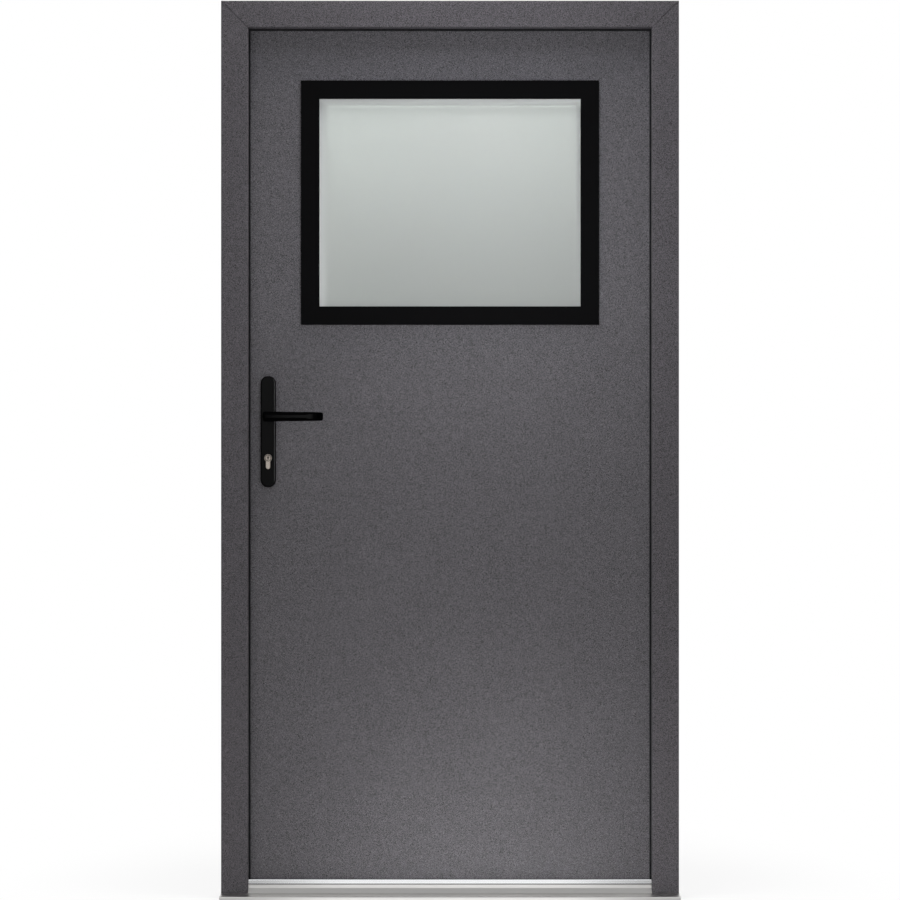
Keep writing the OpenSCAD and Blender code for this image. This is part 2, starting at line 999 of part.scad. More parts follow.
module leaf_skin_inner() {
    color(coat)
        difference() {
            inside_out()
                skin_pan();
            hinge_leaf_screw_set(fit);
        }
}

module forend_pocket() {
    block(
        [-leaf_x - over, mid_y - forend_w / 2, lock_z - forend_h / 2],
        [case_x0, mid_y + forend_w / 2, lock_z + forend_h / 2]
    );
}

module stile() {
    block([-inner_x, inner_y0, inner_z0], [-core_x, inner_y1, inner_z1]);
}

module lock_mortise() {
    block(
        [-leaf_x - over, case_y0 - mortise_fit, case_z0 - mortise_fit],
        [case_x1 + mortise_fit, case_y1 + mortise_fit, case_z1 + mortise_fit]
    );
}

module leaf_stile_lock() {
    color(timber)
        difference() {
            stile();
            forend_pocket();
            lock_mortise();
            forend_screw_set(fit);
        }
}

module leaf_stile_hinge() {
    color(timber)
        difference() {
            other_side()
                stile();
            hinge_leaf_screw_set(fit);
        }
}

module leaf_rail_top() {
    color(timber)
        block([-core_x, inner_y0, inner_z1 - rail_h], [core_x, inner_y1, inner_z1]);
}

module leaf_rail_bottom() {
    color(timber)
        block([-core_x, inner_y0, inner_z0], [core_x, inner_y1, inner_z0 + rail_h]);
}

module leaf_lock_block() {
    color(timber)
        difference() {
            block([-core_x, inner_y0, block_z0], [block_x, inner_y1, block_z1]);
            lock_mortise();
            hardware_holes();
        }
}

module leaf_core() {
    color(foam)
        difference() {
            block([-core_x, inner_y0, inner_z0 + rail_h], [core_x, inner_y1, inner_z1 - rail_h]);
            block([-core_x - over, inner_y0 - over, block_z0], [block_x, inner_y1 + over, block_z1]);
            window_hole();
        }
}

module leaf_bottom_seal() {
    seal_x = leaf_x - brush_inset;
    y0 = mid_y - brush_w / 2;
    z0 = ledge_h + slip;
    color(rubber_black)
        union() {
            block([-seal_x, y0, leaf_z0 - brush_base], [seal_x, y0 + brush_w, leaf_z0]);
            for (s = brush_shares)
                translate([-seal_x, y0 + s * (brush_w - brush_fin), z0])
                    cube([2 * seal_x, brush_fin, leaf_z0 - z0 - brush_base / 2]);
        }
}

// Window pieces

// Screws round the window, through the inner trim into the outer trim's collar
module trim_screw_set(grow = 0) {
    x = collar_half[0] - collar_t / 2;
    z = collar_half[1] - collar_t / 2;
    side = [for (sx = [-1, 1], sz = [-1, 1]) [sx * x, sz * sight_half[1] * trim_screw_share]];
    ends = [for (sx = [-1, 1], sz = [-1, 1]) [sx * sight_half[0] * trim_screw_share, sz * z]];
    for (p = concat(side, ends))
        translate([p[0], leaf_y1 + trim_t, win_z + p[1]])
            rotate([90, 0, 0])
                trim_screw(leaf_y1 + trim_t - trim_screw_tip, grow);
}

module trim_screw(len, grow) {
    reach = grow > 0 ? over : 0;
    union() {
        cylinder(r1 = 2 * trim_screw_r + grow, r2 = trim_screw_r + grow, h = trim_screw_r);
        cylinder(r = trim_screw_r + grow, h = len + grow);
        if (grow > 0)
            translate([0, 0, -reach])
                cylinder(r = 2 * trim_screw_r + grow, h = reach);
    }
}

module window_trim_outer() {
    color(black)
        difference() {
            union() {
                window_ring(trim_half, sight_half, leaf_y0 - trim_t, leaf_y0);
                window_ring(collar_half, collar_in, leaf_y0, leaf_y0 + collar_d);
            }
            trim_screw_set(fit);
        }
}

module window_trim_inner() {
    reveal_half = [for (h = sight_half) h + reveal_t];
    color(black)
        difference() {
            union() {
                window_ring(trim_half, sight_half, leaf_y1, leaf_y1 + trim_t);
                window_ring(reveal_half, sight_half, lip_y, leaf_y1);
                window_ring(glass_half, sight_half, lip_y, lip_y + lip_t);
            }
            trim_screw_set(fit);
        }
}

module window_trim_screws() {
    color(steel)
        trim_screw_set();
}

module pane(y0) {
    block(
        [-glass_half[0], y0, win_z - glass_half[1]],
        [glass_half[0], y0 + pane_t, win_z + glass_half[1]]
    );
}

module window_pane_outer() {
    color(frost)
        pane(glass_y0);
}

module window_pane_inner() {
    color(clear_glass)
        pane(gap_y1);
}

module window_sealant() {
    inner = [for (h = glass_half) h - sealant_w];
    color(rubber_black)
        window_ring(glass_half, inner, gap_y0, gap_y1);
}

module window_spacer() {
    outer = [for (h = glass_half) h - sealant_w];
    inner = [for (h = outer) h - spacer_w];
    color(silver)
        window_ring(outer, inner, gap_y0, gap_y1);
}

module window_tapes() {
    inner = [for (h = glass_half) h - tape_w];
    color(rubber_black) {
        window_ring(glass_half, inner, leaf_y0, glass_y0);
        window_ring(glass_half, inner, glass_y1, lip_y);
    }
}

// Blocks that carry the glass's weight on the collar
module window_blocks() {
    z1 = win_z - glass_half[1];
    color(black)
        for (s = [-1, 1])
            translate([s * glass_half[0] * block_share - block_len / 2, glass_y0, z1 - block_t])
                cube([block_len, leaf_y0 + collar_d - glass_y0, block_t]);
}

// Lock pieces

module forend_screw_set(grow = 0) {
    for (s = [-1, 1])
        translate([-leaf_x, mid_y, lock_z + s * (forend_h / 2 - forend_screw_end)])
            rotate([0, 90, 0])
                csk_screw(forend_screw_len, grow);
}

module key_screw(grow = 0) {
    translate([-leaf_x, mid_y, key_screw_z])
        rotate([0, 90, 0])
            csk_screw(backset + key_stem_w / 2 - key_screw_short, grow);
}

// Openings in the leaf's edge for latch and deadbolt
module bolt_openings(x0, x1) {
    block(
        [x0, mid_y - latch_w / 2 - bolt_fit, latch_z - latch_h / 2 - bolt_fit],
        [x1, mid_y + latch_w / 2 + bolt_fit, latch_z + latch_h / 2 + bolt_fit]
    );
    block(
        [x0, mid_y - bolt_w / 2 - bolt_fit, bolt_z - bolt_h / 2 - bolt_fit],
        [x1, mid_y + bolt_w / 2 + bolt_fit, bolt_z + bolt_h / 2 + bolt_fit]
    );
}

module lock_forend() {
    color(steel)
        difference() {
            block(
                [-leaf_x, mid_y - forend_w / 2, lock_z - forend_h / 2],
                [case_x0, mid_y + forend_w / 2, lock_z + forend_h / 2]
            );
            bolt_openings(-leaf_x - over, case_x0 + over);
            forend_screw_set(fit);
            key_screw(fit);
        }
}

module follower_bearing() {
    rod_y(hub_boss_r + fit, case_y0 - over, case_y1 + over, axis_x, lever_z);
}

module lock_case() {
    color(steel)
        difference() {
            block([case_x0, case_y0, case_z0], [case_x1, case_y1 - case_wall, case_z1]);
            block(
                [case_x0 + case_wall, case_y0 + case_wall, case_z0 + case_wall],
                [case_x1 - case_wall, case_y1, case_z1 - case_wall]
            );
            bolt_openings(case_x0 - over, case_x0 + case_wall + over);
            follower_bearing();
            key_bar(case_y0 - over, case_y1 + over, slip);
            key_screw(fit);
        }
}

module lock_cover() {
    color(steel)
        difference() {
            block([case_x0, case_y1 - case_wall, case_z0], [case_x1, case_y1, case_z1]);
            follower_bearing();
            key_bar(case_y0 - over, case_y1 + over, slip);
        }
}

module lock_forend_screws() {
    color(steel)
        forend_screw_set();
}

module cylinder_screw() {
    color(steel)
        key_screw();
}

// Square hole or bar on the lever's axis
module spindle_bar(y0, y1, grow = 0) {
    half = spindle_w / 2 + grow;
    block([axis_x - half, y0, lever_z - half], [axis_x + half, y1, lever_z + half]);
}

// Hub that the spindle turns, with the arm that draws the latch back
module lock_follower() {
    y0 = case_y0 + case_wall + slip;
    y1 = case_y1 - case_wall - slip;
    color(steel)
        difference() {
            union() {
                rod_y(hub_boss_r, case_y0, case_y1, axis_x, lever_z);
                rod_y(hub_r, y0, y1, axis_x, lever_z);
                block(
                    [axis_x - arm_half, y0 + arm_inset, lever_z],
                    [axis_x + arm_half, y1 - arm_inset, lever_z + arm_r]
                );
            }
            spindle_bar(case_y0 - over, case_y1 + over, spindle_fit);
        }
}

module latch() {
    x0 = -leaf_x - latch_out;
    x1 = -leaf_x + latch_root;
    y0 = mid_y - latch_w / 2;
    y1 = mid_y + latch_w / 2;
    tail_w = latch_w / 2;
    color(steel)
        union() {
            translate([0, 0, latch_z - latch_h / 2])
                linear_extrude(latch_h)
                    polygon([[x1, y0], [-leaf_x, y0], [x0, y1 - latch_nib], [x0, y1], [x1, y1]]);
            block(
                [x1 - weld, mid_y - tail_w / 2, tail_z],
                [tab_x + tab_w, mid_y + tail_w / 2, tail_z + tail_h]
            );
            block(
                [tab_x, mid_y - tail_w / 2, tab_z],
                [tab_x + tab_w, mid_y + tail_w / 2, tail_z + weld]
            );
        }
}

module deadbolt() {
    x1 = -leaf_x + bolt_len;
    z0 = bolt_z - bolt_h / 2;
    tail_w = bolt_w / 2;
    color(steel)
        union() {
            block([-leaf_x, mid_y - bolt_w / 2, z0], [x1, mid_y + bolt_w / 2, z0 + bolt_h]);
            block(
                [x1 - weld, mid_y - tail_w / 2, z0],
                [bolt_tail_x, mid_y + tail_w / 2, z0 + bolt_tail_h]
            );
        }
}

// Key cylinder: a profile body with its middle cut away for the cam
module cylinder_body() {
    half_cam = cam_w / 2 + cam_room;
    color(nickel)
        difference() {
            key_bar(key_y0, key_y1);
            rod_y(plug_r + fit, key_y0 - over, key_y1 + over, axis_x, key_z);
            block(
                [axis_x - key_h, mid_y - half_cam, bridge_z],
                [axis_x + key_h, mid_y + half_cam, key_z + key_h]
            );
            key_screw(fit);
        }
}

// Turning plug with its keyway, on the outside of the leaf
module key_plug() {
    difference() {
        rod_y(plug_r, key_y0 - slip, mid_y - cam_w / 2, axis_x, key_z);
        block(
            [axis_x - keyway_w / 2, key_y0 - over, keyway_z],
            [axis_x + keyway_w / 2, key_y0 + keyway_d, keyway_z + keyway_h]
        );
    }
}

module cylinder_plug_outer() {
    color(nickel)
        key_plug();
}

module cylinder_plug_inner() {
    color(nickel)
        inside_out()
            key_plug();
}

module cylinder_cam() {
    y0 = mid_y - cam_w / 2;
    y1 = mid_y + cam_w / 2;
    color(steel)
        union() {
            rod_y(cam_r, y0, y1, axis_x, key_z);
            intersection() {
                block(
                    [axis_x - cam_lobe_w / 2, y0, key_z - cam_reach],
                    [axis_x + cam_lobe_w / 2, y1, key_z]
                );
                rod_y(cam_reach, y0, y1, axis_x, key_z);
            }
        }
}

// Handle pieces

// Long plate with round corners and a sloped front edge, on the outside
module plate_blank() {
    cx = plate_w / 2 - plate_r;
    cz = plate_h / 2 - plate_r;
    hull()
        for (sx = [-1, 1], sz = [-1, 1]) {
            x = axis_x + sx * cx;
            z = plate_z + sz * cz;
            rod_y(plate_r, leaf_y0 - plate_t + plate_bevel, leaf_y0, x, z, $fn = 32);
            rod_y(plate_r - plate_bevel, leaf_y0 - plate_t, leaf_y0, x, z, $fn = 32);
        }
}

module plate_openings() {
    rod_y(neck_r + slip, leaf_y0 - plate_t - over, leaf_y0 + over, axis_x, lever_z);
    key_bar(leaf_y0 - plate_t - over, leaf_y0 + over, slip);
}

// Through bolts from the inner plate into blind holes in the outer plate
module handle_bolt_set(grow = 0) {
    for (z = handle_bolt_z)
        translate([axis_x, leaf_y1 + plate_t, z])
            rotate([90, 0, 0])
                csk_screw(leaf_t + plate_t + plate_t / 2, grow);
}

module handle_plate_outer() {
    color(black)
        difference() {
            plate_blank();
            plate_openings();
            handle_bolt_set(handle_bolt_r - screw_r);
        }
}

module handle_plate_inner() {
    color(black)
        difference() {
            inside_out()
                difference() {
                    plate_blank();
                    plate_openings();
                }
            handle_bolt_set(fit);
        }
}

module handle_bolts() {
    color(steel)
        handle_bolt_set();
}

// Signed power, for cross-sections between an ellipse and a rectangle
function soft(v, p) = sign(v) * pow(abs(v), p);

// Path of the lever's middle line: distance along it gives place and heading
function lever_place(s) =
    s <= lever_run
        ? [s, 0, 0]
        : let (a = (s - lever_run) / bend_r * 180 / PI)
            [lever_run + bend_r * sin(a), bend_r * (1 - cos(a)), a];

// One ring of points: height tapers to the tip, the front is rounder than the edges
function lever_ring(st) =
    let (
        place = lever_place(st[0]),
        taper = st[0] / lever_path_len,
        full_h = lever_root_h + (lever_tip_h - lever_root_h) * taper,
        half_h = full_h / 2 * (height_share + (1 - height_share) * st[1]),
        half_t = lever_bar_t / 2 * st[1]
    )
    [for (k = [0 : lever_sides - 1])
        let (
            a = 360 * k / lever_sides,
            across = half_t * soft(cos(a), front_share),
            up = half_h * soft(sin(a), edge_share)
        )
        [place[0] - across * sin(place[2]), place[1] + across * cos(place[2]), up]];

// Lever with a round neck, on the outside of the leaf
module lever() {
    bar_y = leaf_y0 - lever_reach;
    difference() {
        union() {
            translate([axis_x - lever_back, bar_y, lever_z])
                polyhedron(lever_points, lever_faces);
            rod_y(neck_r, bar_y, leaf_y0 - slip, axis_x, lever_z);
        }
        spindle_bar(leaf_y0 - spindle_end - slip, leaf_y0 + over, spindle_fit);
    }
}

module lever_outer() {
    color(black)
        lever();
}

module lever_inner() {
    color(black)
        inside_out()
            lever();
}

module lever_spindle() {
    color(steel)
        spindle_bar(leaf_y0 - spindle_end, leaf_y1 + spindle_end);
}

frame_head();
frame_jamb_lock();
frame_jamb_hinge();
corner_cleats();
jamb_connectors();
sill_screws();
threshold_sill();
threshold_rib();
threshold_base();
threshold_seal();
frame_seal();
strike_plate();
strike_box();
strike_screws();
hinge_frame(hinge_z[0]);  // hinge_frame_low
hinge_frame(hinge_z[1]);  // hinge_frame_mid
hinge_frame(hinge_z[2]);  // hinge_frame_top
hinge_pins();
hinge_frame_screws();
leaf_skin_outer();
leaf_skin_inner();
leaf_stile_lock();
leaf_stile_hinge();
leaf_rail_top();
leaf_rail_bottom();
leaf_lock_block();
leaf_core();
leaf_bottom_seal();
window_trim_outer();
window_trim_inner();
window_trim_screws();
window_pane_outer();
window_pane_inner();
window_spacer();
window_sealant();
window_tapes();
window_blocks();
lock_forend();
lock_case();
lock_cover();
lock_forend_screws();
lock_follower();
latch();
deadbolt();
cylinder_body();
cylinder_screw();
cylinder_plug_outer();
cylinder_plug_inner();
cylinder_cam();
handle_plate_outer();
handle_plate_inner();
handle_bolts();
lever_outer();
lever_inner();
lever_spindle();
hinge_leaf(hinge_z[0]);  // hinge_leaf_low
hinge_leaf(hinge_z[1]);  // hinge_leaf_mid
hinge_leaf(hinge_z[2]);  // hinge_leaf_top
hinge_leaf_screws();
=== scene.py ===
# %% [markdown]
# # An entrance door with a frosted window, hung in its frame
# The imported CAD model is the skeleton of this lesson: its pieces are loaded first and are never
# moved. Each step below either gives a CAD piece its finish or builds a finer piece in its place.
# X runs to the right, Y into the building and Z up, as in the CAD model. Blender counts in metres,
# and so do the studio and the finishes. The door's own sizes are in millimetres, as on a drawing.

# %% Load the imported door
import json
import math

import bmesh
import bpy
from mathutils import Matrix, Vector


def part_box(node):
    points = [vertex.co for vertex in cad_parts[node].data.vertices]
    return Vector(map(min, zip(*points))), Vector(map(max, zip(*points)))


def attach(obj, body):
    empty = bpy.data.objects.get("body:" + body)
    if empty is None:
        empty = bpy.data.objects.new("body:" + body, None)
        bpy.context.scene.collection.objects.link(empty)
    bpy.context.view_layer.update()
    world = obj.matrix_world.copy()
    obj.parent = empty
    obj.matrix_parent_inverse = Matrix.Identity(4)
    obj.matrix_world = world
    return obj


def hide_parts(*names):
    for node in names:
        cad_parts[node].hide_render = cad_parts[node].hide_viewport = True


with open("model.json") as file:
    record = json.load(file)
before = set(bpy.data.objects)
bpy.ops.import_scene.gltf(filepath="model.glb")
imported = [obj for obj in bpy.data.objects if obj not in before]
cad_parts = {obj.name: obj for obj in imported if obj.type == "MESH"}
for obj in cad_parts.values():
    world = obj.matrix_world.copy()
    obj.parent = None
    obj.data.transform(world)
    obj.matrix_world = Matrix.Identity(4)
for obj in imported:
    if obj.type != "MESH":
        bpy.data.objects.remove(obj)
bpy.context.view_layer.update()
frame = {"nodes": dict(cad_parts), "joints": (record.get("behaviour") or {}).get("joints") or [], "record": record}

nodes = frame["nodes"]
scene = bpy.context.scene
scene.view_settings.view_transform = "Standard"

# %% [markdown]
# ## Camera
# The photograph was taken square on, from the middle of the door. A level camera with a long lens
# keeps the frame's lines upright and parallel, and no shift is needed.

# %% Camera square to the outer face
CAMERA_AWAY, CAMERA_HEIGHT = 4.4, 0.999
SENSOR_WIDTH, LENS = 36.0, 79.04
camera = bpy.data.objects.new("camera", bpy.data.cameras.new("camera"))
camera.location = (0.0, -CAMERA_AWAY, CAMERA_HEIGHT)
camera.rotation_euler = (math.radians(90.0), 0.0, 0.0)
camera.data.sensor_width = SENSOR_WIDTH
camera.data.lens = LENS
scene.collection.objects.link(camera)
scene.camera = camera
print("camera", tuple(camera.location), "lens", camera.data.lens)

# %% [markdown]
# ## Writing node trees as sums
# A finish is mostly arithmetic on noise. Wiring every Math node by hand hides that arithmetic, so a
# small class wraps a socket and turns sums, differences and products into Math nodes. Every other
# node comes from one method, which sets the node's options and then fills or links its sockets.

# %% Sockets that can be added and multiplied
class Sock:
    """A value in a node tree; arithmetic on it adds Math nodes."""

    def __init__(self, tree, socket):
        self.tree, self.socket = tree, socket

    def math(self, operation, *values):
        return self.tree.add("Math", {"operation": operation}, dict(enumerate(values)))

    def __add__(self, other):
        return self.math("ADD", self, other)

    def __radd__(self, other):
        return self.math("ADD", other, self)

    def __sub__(self, other):
        return self.math("SUBTRACT", self, other)

    def __rsub__(self, other):
        return self.math("SUBTRACT", other, self)

    def __mul__(self, other):
        return self.math("MULTIPLY", self, other)

    def __rmul__(self, other):
        return self.math("MULTIPLY", other, self)

    def above(self, edge):
        """1 where the value is over the edge, 0 elsewhere."""
        return self.math("GREATER_THAN", self, edge)

    def size(self):
        """The value without its sign."""
        return self.math("ABSOLUTE", self)

    def at_least(self, other):
        return self.math("MAXIMUM", self, other)

    def swing(self, amount):
        """A value from 0 to 1 as a swing of this amount about zero."""
        return amount * (self - 0.5)

    def within(self, low, high):
        """0 at low, 1 at high, with soft ends."""
        return self.tree.add(
            "MapRange",
            {"interpolation_type": "SMOOTHSTEP"},
            {"Value": self, "From Min": low, "From Max": high},
        )


class Tree:
    """A node tree that is written as expressions."""

    def __init__(self, node_tree):
        self.node_tree = node_tree
        node_tree.nodes.clear()

    def add(self, kind, settings=None, sockets=None, out=0):
        whole = kind.startswith(("Geometry", "Function", "NodeGroup"))
        node = self.node_tree.nodes.new(kind if whole else "ShaderNode" + kind)
        for key, value in (settings or {}).items():
            setattr(node, key, value)
        for key, value in (sockets or {}).items():
            if isinstance(key, int):
                slot = node.inputs[key]
            else:
                slot = next(s for s in node.inputs if s.enabled and key in (s.name, s.identifier))
            links = value if isinstance(value, list) else [value]
            for link in links:
                if isinstance(link, Sock):
                    self.node_tree.links.new(link.socket, slot)
                else:
                    slot.default_value = link
        shown = [s for s in node.outputs if s.enabled]
        named = [s for s in shown if s.name == out] if isinstance(out, str) else shown[out:]
        return Sock(self, named[0]) if named else None

    def axis(self, vector, name):
        """One coordinate of a vector."""
        return self.add("SeparateXYZ", None, {0: vector}, out=name)

    def mix(self, share, first, second):
        """Colour between two colours."""
        return self.add("Mix", {"data_type": "RGBA"}, {"Factor": share, "A": first, "B": second})


print("node trees can be written as expressions")

# %% [markdown]
# ## A plain studio
# The photograph's background is pure white. Making the lamps strong enough for that would burn out
# the bright threshold, so the white is shown only to rays that look at it: camera rays, and the
# rays of mirror-like and see-through surfaces. Ordinary diffuse light from the world stays weak.
# In mirrors the ceiling is grey and the side walls are dark, which draws dark rims on the handle.

# %% World: white to look at, weak as a lamp
WORLD_LIGHT = 0.15
CEILING_GREY, CEILING_FROM, CEILING_FULL = 0.42, 0.45, 0.85
SIDE_GREY, SIDE_FROM, SIDE_FULL = 0.12, 0.30, 0.65


def grey(level):
    return (level, level, level, 1.0)


WHITE, BLACK = grey(1.0), grey(0.0)


def seen_directly(tree):
    """1 for rays that show the surroundings as a picture, 0 for rays that only gather light."""
    picture = [
        tree.add("LightPath", out=name)
        for name in ("Is Camera Ray", "Is Glossy Ray", "Is Transmission Ray")
    ]
    return picture[0].at_least(picture[1]).at_least(picture[2])


world = bpy.data.worlds.new("studio")
scene.world = world
world.use_nodes = True
sky = Tree(world.node_tree)
towards = sky.add("TexCoord", out="Generated")
upward = sky.axis(towards, "Z").within(CEILING_FROM, CEILING_FULL)
sideways = sky.axis(towards, "X").size().within(SIDE_FROM, SIDE_FULL)
in_mirror = sky.add("LightPath", out="Is Glossy Ray")
open_white = sky.mix(upward, WHITE, grey(CEILING_GREY))
shown_white = sky.mix(sideways * in_mirror, open_white, grey(SIDE_GREY))
looked_at = sky.add("Background", None, {"Color": shown_white, "Strength": 1.0})
gathered = sky.add("Background", None, {"Color": WHITE, "Strength": WORLD_LIGHT})
around = sky.add("MixShader", None, {0: seen_directly(sky), 1: gathered, 2: looked_at})
sky.add("OutputWorld", None, {"Surface": around})
print("world lights diffuse surfaces at", WORLD_LIGHT)

# %% [markdown]
# ## Floor
# The door stands on a pale floor. Near the door the floor is an ordinary matt surface that takes
# the door's shadow. Further out it fades to plain white, so that no edge shows behind the door. In
# the mirror of the threshold the floor is lit in the middle and dimmer towards the sides.

# %% Pale floor that keeps the shadow
FLOOR_HALF, FLOOR_GREY = 30.0, 0.86
SHADOW_NEAR, SHADOW_FAR, SHADOW_SHARE = 0.55, 1.1, 0.12
DIM_NEAR, DIM_FAR, DIM_SHARE = 0.22, 0.50, 0.60
CORNERS = ((-1, -1), (1, -1), (1, 1), (-1, 1))
finishes = {}


def mesh_object(name, bm, finish=None):
    """A new object at the origin from bmesh data."""
    mesh = bpy.data.meshes.new(name)
    bm.to_mesh(mesh)
    bm.free()
    obj = bpy.data.objects.new(name, mesh)
    scene.collection.objects.link(obj)
    if finish is not None:
        mesh.materials.append(finish)
    return obj


def new_finish(name):
    """Start a finish: the tree that it is written in, and the piece's own coordinates."""
    finishes[name] = bpy.data.materials.new(name)
    finishes[name].use_nodes = True
    tree = Tree(finishes[name].node_tree)
    return tree, tree.add("TexCoord", out="Object")


tree, place = new_finish("studio_floor")
reach = tree.add("VectorMath", {"operation": "LENGTH"}, {0: place}, out="Value")
fade = reach.within(SHADOW_NEAR, SHADOW_FAR)
share = seen_directly(tree) * (1.0 - SHADOW_SHARE + SHADOW_SHARE * fade)
matt = tree.add("BsdfDiffuse", None, {"Color": grey(FLOOR_GREY)})
sideways = tree.axis(place, "X").size().within(DIM_NEAR, DIM_FAR)
dimmed = tree.add("LightPath", out="Is Glossy Ray") * sideways * DIM_SHARE
white = tree.add("Emission", None, {"Color": tree.mix(dimmed, WHITE, BLACK), "Strength": 1.0})
ground = tree.add("MixShader", None, {0: share, 1: matt, 2: white})
tree.add("OutputMaterial", None, {"Surface": ground})
bm = bmesh.new()
bm.faces.new(bm.verts.new((sx * FLOOR_HALF, sy * FLOOR_HALF, 0.0)) for sx, sy in CORNERS)
floor = mesh_object("studio_floor", bm, finishes["studio_floor"])
print("floor half width", FLOOR_HALF)

# %% [markdown]
# ## Lamps
# In the photograph the top of the leaf is shaded by the head of the frame, although the head stands
# only 20 mm proud. So the main lamps hang nearly overhead. Small lamps in front fill the middle,
# low ones give the glow at the foot of the leaf, and three behind the door shine through the glass.
# The last two draw the bright lines on the handle, so they light the handle's pieces alone. The
# photograph shows no shadow under the lever, so the lever is left out of what the lamps' light
# stops at.

# %% Softboxes
plates_lit = bpy.data.collections.new("plates_lit")
levers_lit = bpy.data.collections.new("levers_lit")
shadeless = bpy.data.collections.new("shadeless")
WARM, COOL, NEUTRAL = (1.0, 0.95, 0.89), (0.90, 0.93, 1.0), (1.0, 1.0, 1.0)


def softbox(name, place, aim, size, watts, tint=NEUTRAL, lights=None):
    """A lamp that faces a point; it shows in the group that it lights alone, if there is one."""
    lamp = bpy.data.lights.new(name, "AREA")
    lamp.shape = "RECTANGLE"
    lamp.size, lamp.size_y = size
    lamp.energy = watts
    lamp.color = tint
    obj = bpy.data.objects.new(name, lamp)
    obj.location = place
    obj.rotation_euler = (Vector(aim) - Vector(place)).to_track_quat("-Z", "Y").to_euler()
    obj.visible_camera = False
    obj.visible_glossy = lights is not None
    obj.visible_transmission = place[1] > 0.0
    obj.light_linking.receiver_collection = lights
    obj.light_linking.blocker_collection = shadeless
    scene.collection.objects.link(obj)


# Each lamp has its place, the point that it faces, its width and height, and its watts.
softbox("lamp_head", (0.05, -0.15, 3.20), (0.05, -0.05, 0.50), (0.5, 0.2), 34.0, WARM)
softbox("lamp_brow", (0.05, -0.25, 2.70), (0.05, -0.05, 0.50), (0.4, 0.2), 7.9, COOL)
softbox("lamp_window", (0.14, -0.70, 1.58), (0.12, 0.00, 1.58), (0.3, 0.2), 1.7, COOL)
softbox("lamp_middle", (0.10, -0.55, 1.28), (0.10, 0.00, 1.28), (0.3, 0.2), 1.1)
softbox("lamp_front", (0.11, -1.30, 1.55), (0.06, 0.00, 1.45), (0.4, 0.8), 4.0)
softbox("lamp_left", (-2.60, -2.60, 1.40), (0.00, 0.00, 1.00), (1.2, 1.6), 22.0)
softbox("lamp_low", (0.10, -0.60, 0.06), (0.10, 0.00, 0.20), (0.4, 0.1), 3.3)
softbox("lamp_sill", (0.02, -0.12, 0.055), (0.02, 0.02, 0.05), (0.6, 0.04), 0.12)
softbox("lamp_hall", (0.00, 2.50, 2.20), (0.00, 0.00, 1.60), (1.6, 0.6), 6.5)
softbox("lamp_stairs", (-0.95, 2.00, 1.60), (-0.25, 0.00, 1.45), (0.8, 0.7), 2.0)
softbox("lamp_ceiling", (0.00, 2.20, 3.20), (0.00, 0.00, 1.60), (2.0, 0.6), 60.0)
softbox("lamp_edge", (0.58, -2.19, 1.40), (-0.40, 0.01, 1.10), (0.3, 1.4), 70.0,
        lights=plates_lit)
softbox("lamp_lever", (-0.458, -1.60, 1.10), (-0.34, 0.00, 1.07), (0.105, 0.6), 2.1,
        lights=levers_lit)

# %% [markdown]
# ## Powder coat
# Frame and leaf are coated with baked powder. Close up such a coat is a fine orange peel: tiny
# rounded grains that catch the light, with faint clouds where the powder lay thicker. Two layers of
# noise give clouds and grain, and small random cells give the single flecks of powder. All of them
# read the object's own space, so that the pattern keeps its scale from piece to piece.

# %% Helpers: noise, bumps and surfaces
def noise(tree, place, scale, detail=2.0, rough=0.5):
    """Noise from 0 to 1 with about `scale` lumps to the metre."""
    return tree.add(
        "TexNoise", None, {"Vector": place, "Scale": scale, "Detail": detail, "Roughness": rough}
    )


def drawn_out(tree, place, scale):
    """Object space stretched by a factor along each axis."""
    return tree.add("Mapping", None, {"Vector": place, "Scale": scale})


def cells(tree, place, scale, out):
    """Random cells, about `scale` of them to the metre."""
    return tree.add("TexVoronoi", None, {"Vector": place, "Scale": scale}, out=out)


def bumps(tree, height, depth, strength=0.4):
    """The normal of a surface whose heights from 0 to 1 are a depth in metres."""
    return tree.add("Bump", None, {"Strength": strength, "Distance": depth, "Height": height})


def surface(tree, sockets):
    """Principled surface with these values, as the material's output."""
    tree.add("OutputMaterial", None, {"Surface": tree.add("BsdfPrincipled", None, sockets)})


def tinted(colour, factor=1.0):
    """An opaque colour, darker or brighter by a factor."""
    return tuple(min(1.0, c * factor) for c in colour) + (1.0,)


print("noise is counted in lumps to the metre")

# %% Powder coat
CLOUD_SHARE, FLECK_SHARE, SPARK_SHARE = 0.11, 1.30, 0.25
SPARK_FROM = 0.97
COAT_DARK, COAT_BRIGHT = 0.15, 1.85


def powder_coat(name, colour, gloss):
    tree, place = new_finish(name)
    clouds = noise(tree, place, scale=6.5, detail=4.0, rough=0.62)
    grain = noise(tree, place, scale=560.0, detail=1.0)
    fleck = tree.add("SeparateColor", None, {0: cells(tree, place, 1400.0, "Color")})
    spark = fleck.above(SPARK_FROM)
    light = 0.5 + clouds.swing(CLOUD_SHARE) + fleck.swing(FLECK_SHARE) + SPARK_SHARE * spark
    surface(tree, {
        "Base Color": tree.mix(light, tinted(colour, COAT_DARK), tinted(colour, COAT_BRIGHT)),
        "Roughness": 0.50 + grain.swing(0.22) - 0.10 * spark,
        "Specular IOR Level": gloss,
        "Normal": bumps(tree, 0.4 * grain + 0.6 * fleck, depth=0.0003, strength=0.5),
    })


powder_coat("coated_frame", (0.0775, 0.0730, 0.0795), gloss=0.13)
powder_coat("coated_skin", (0.0885, 0.0850, 0.0918), gloss=0.13)
powder_coat("coated_hinge", (0.066, 0.063, 0.070), gloss=0.16)
print("powder coats", [name for name in finishes if name.startswith("coated")])

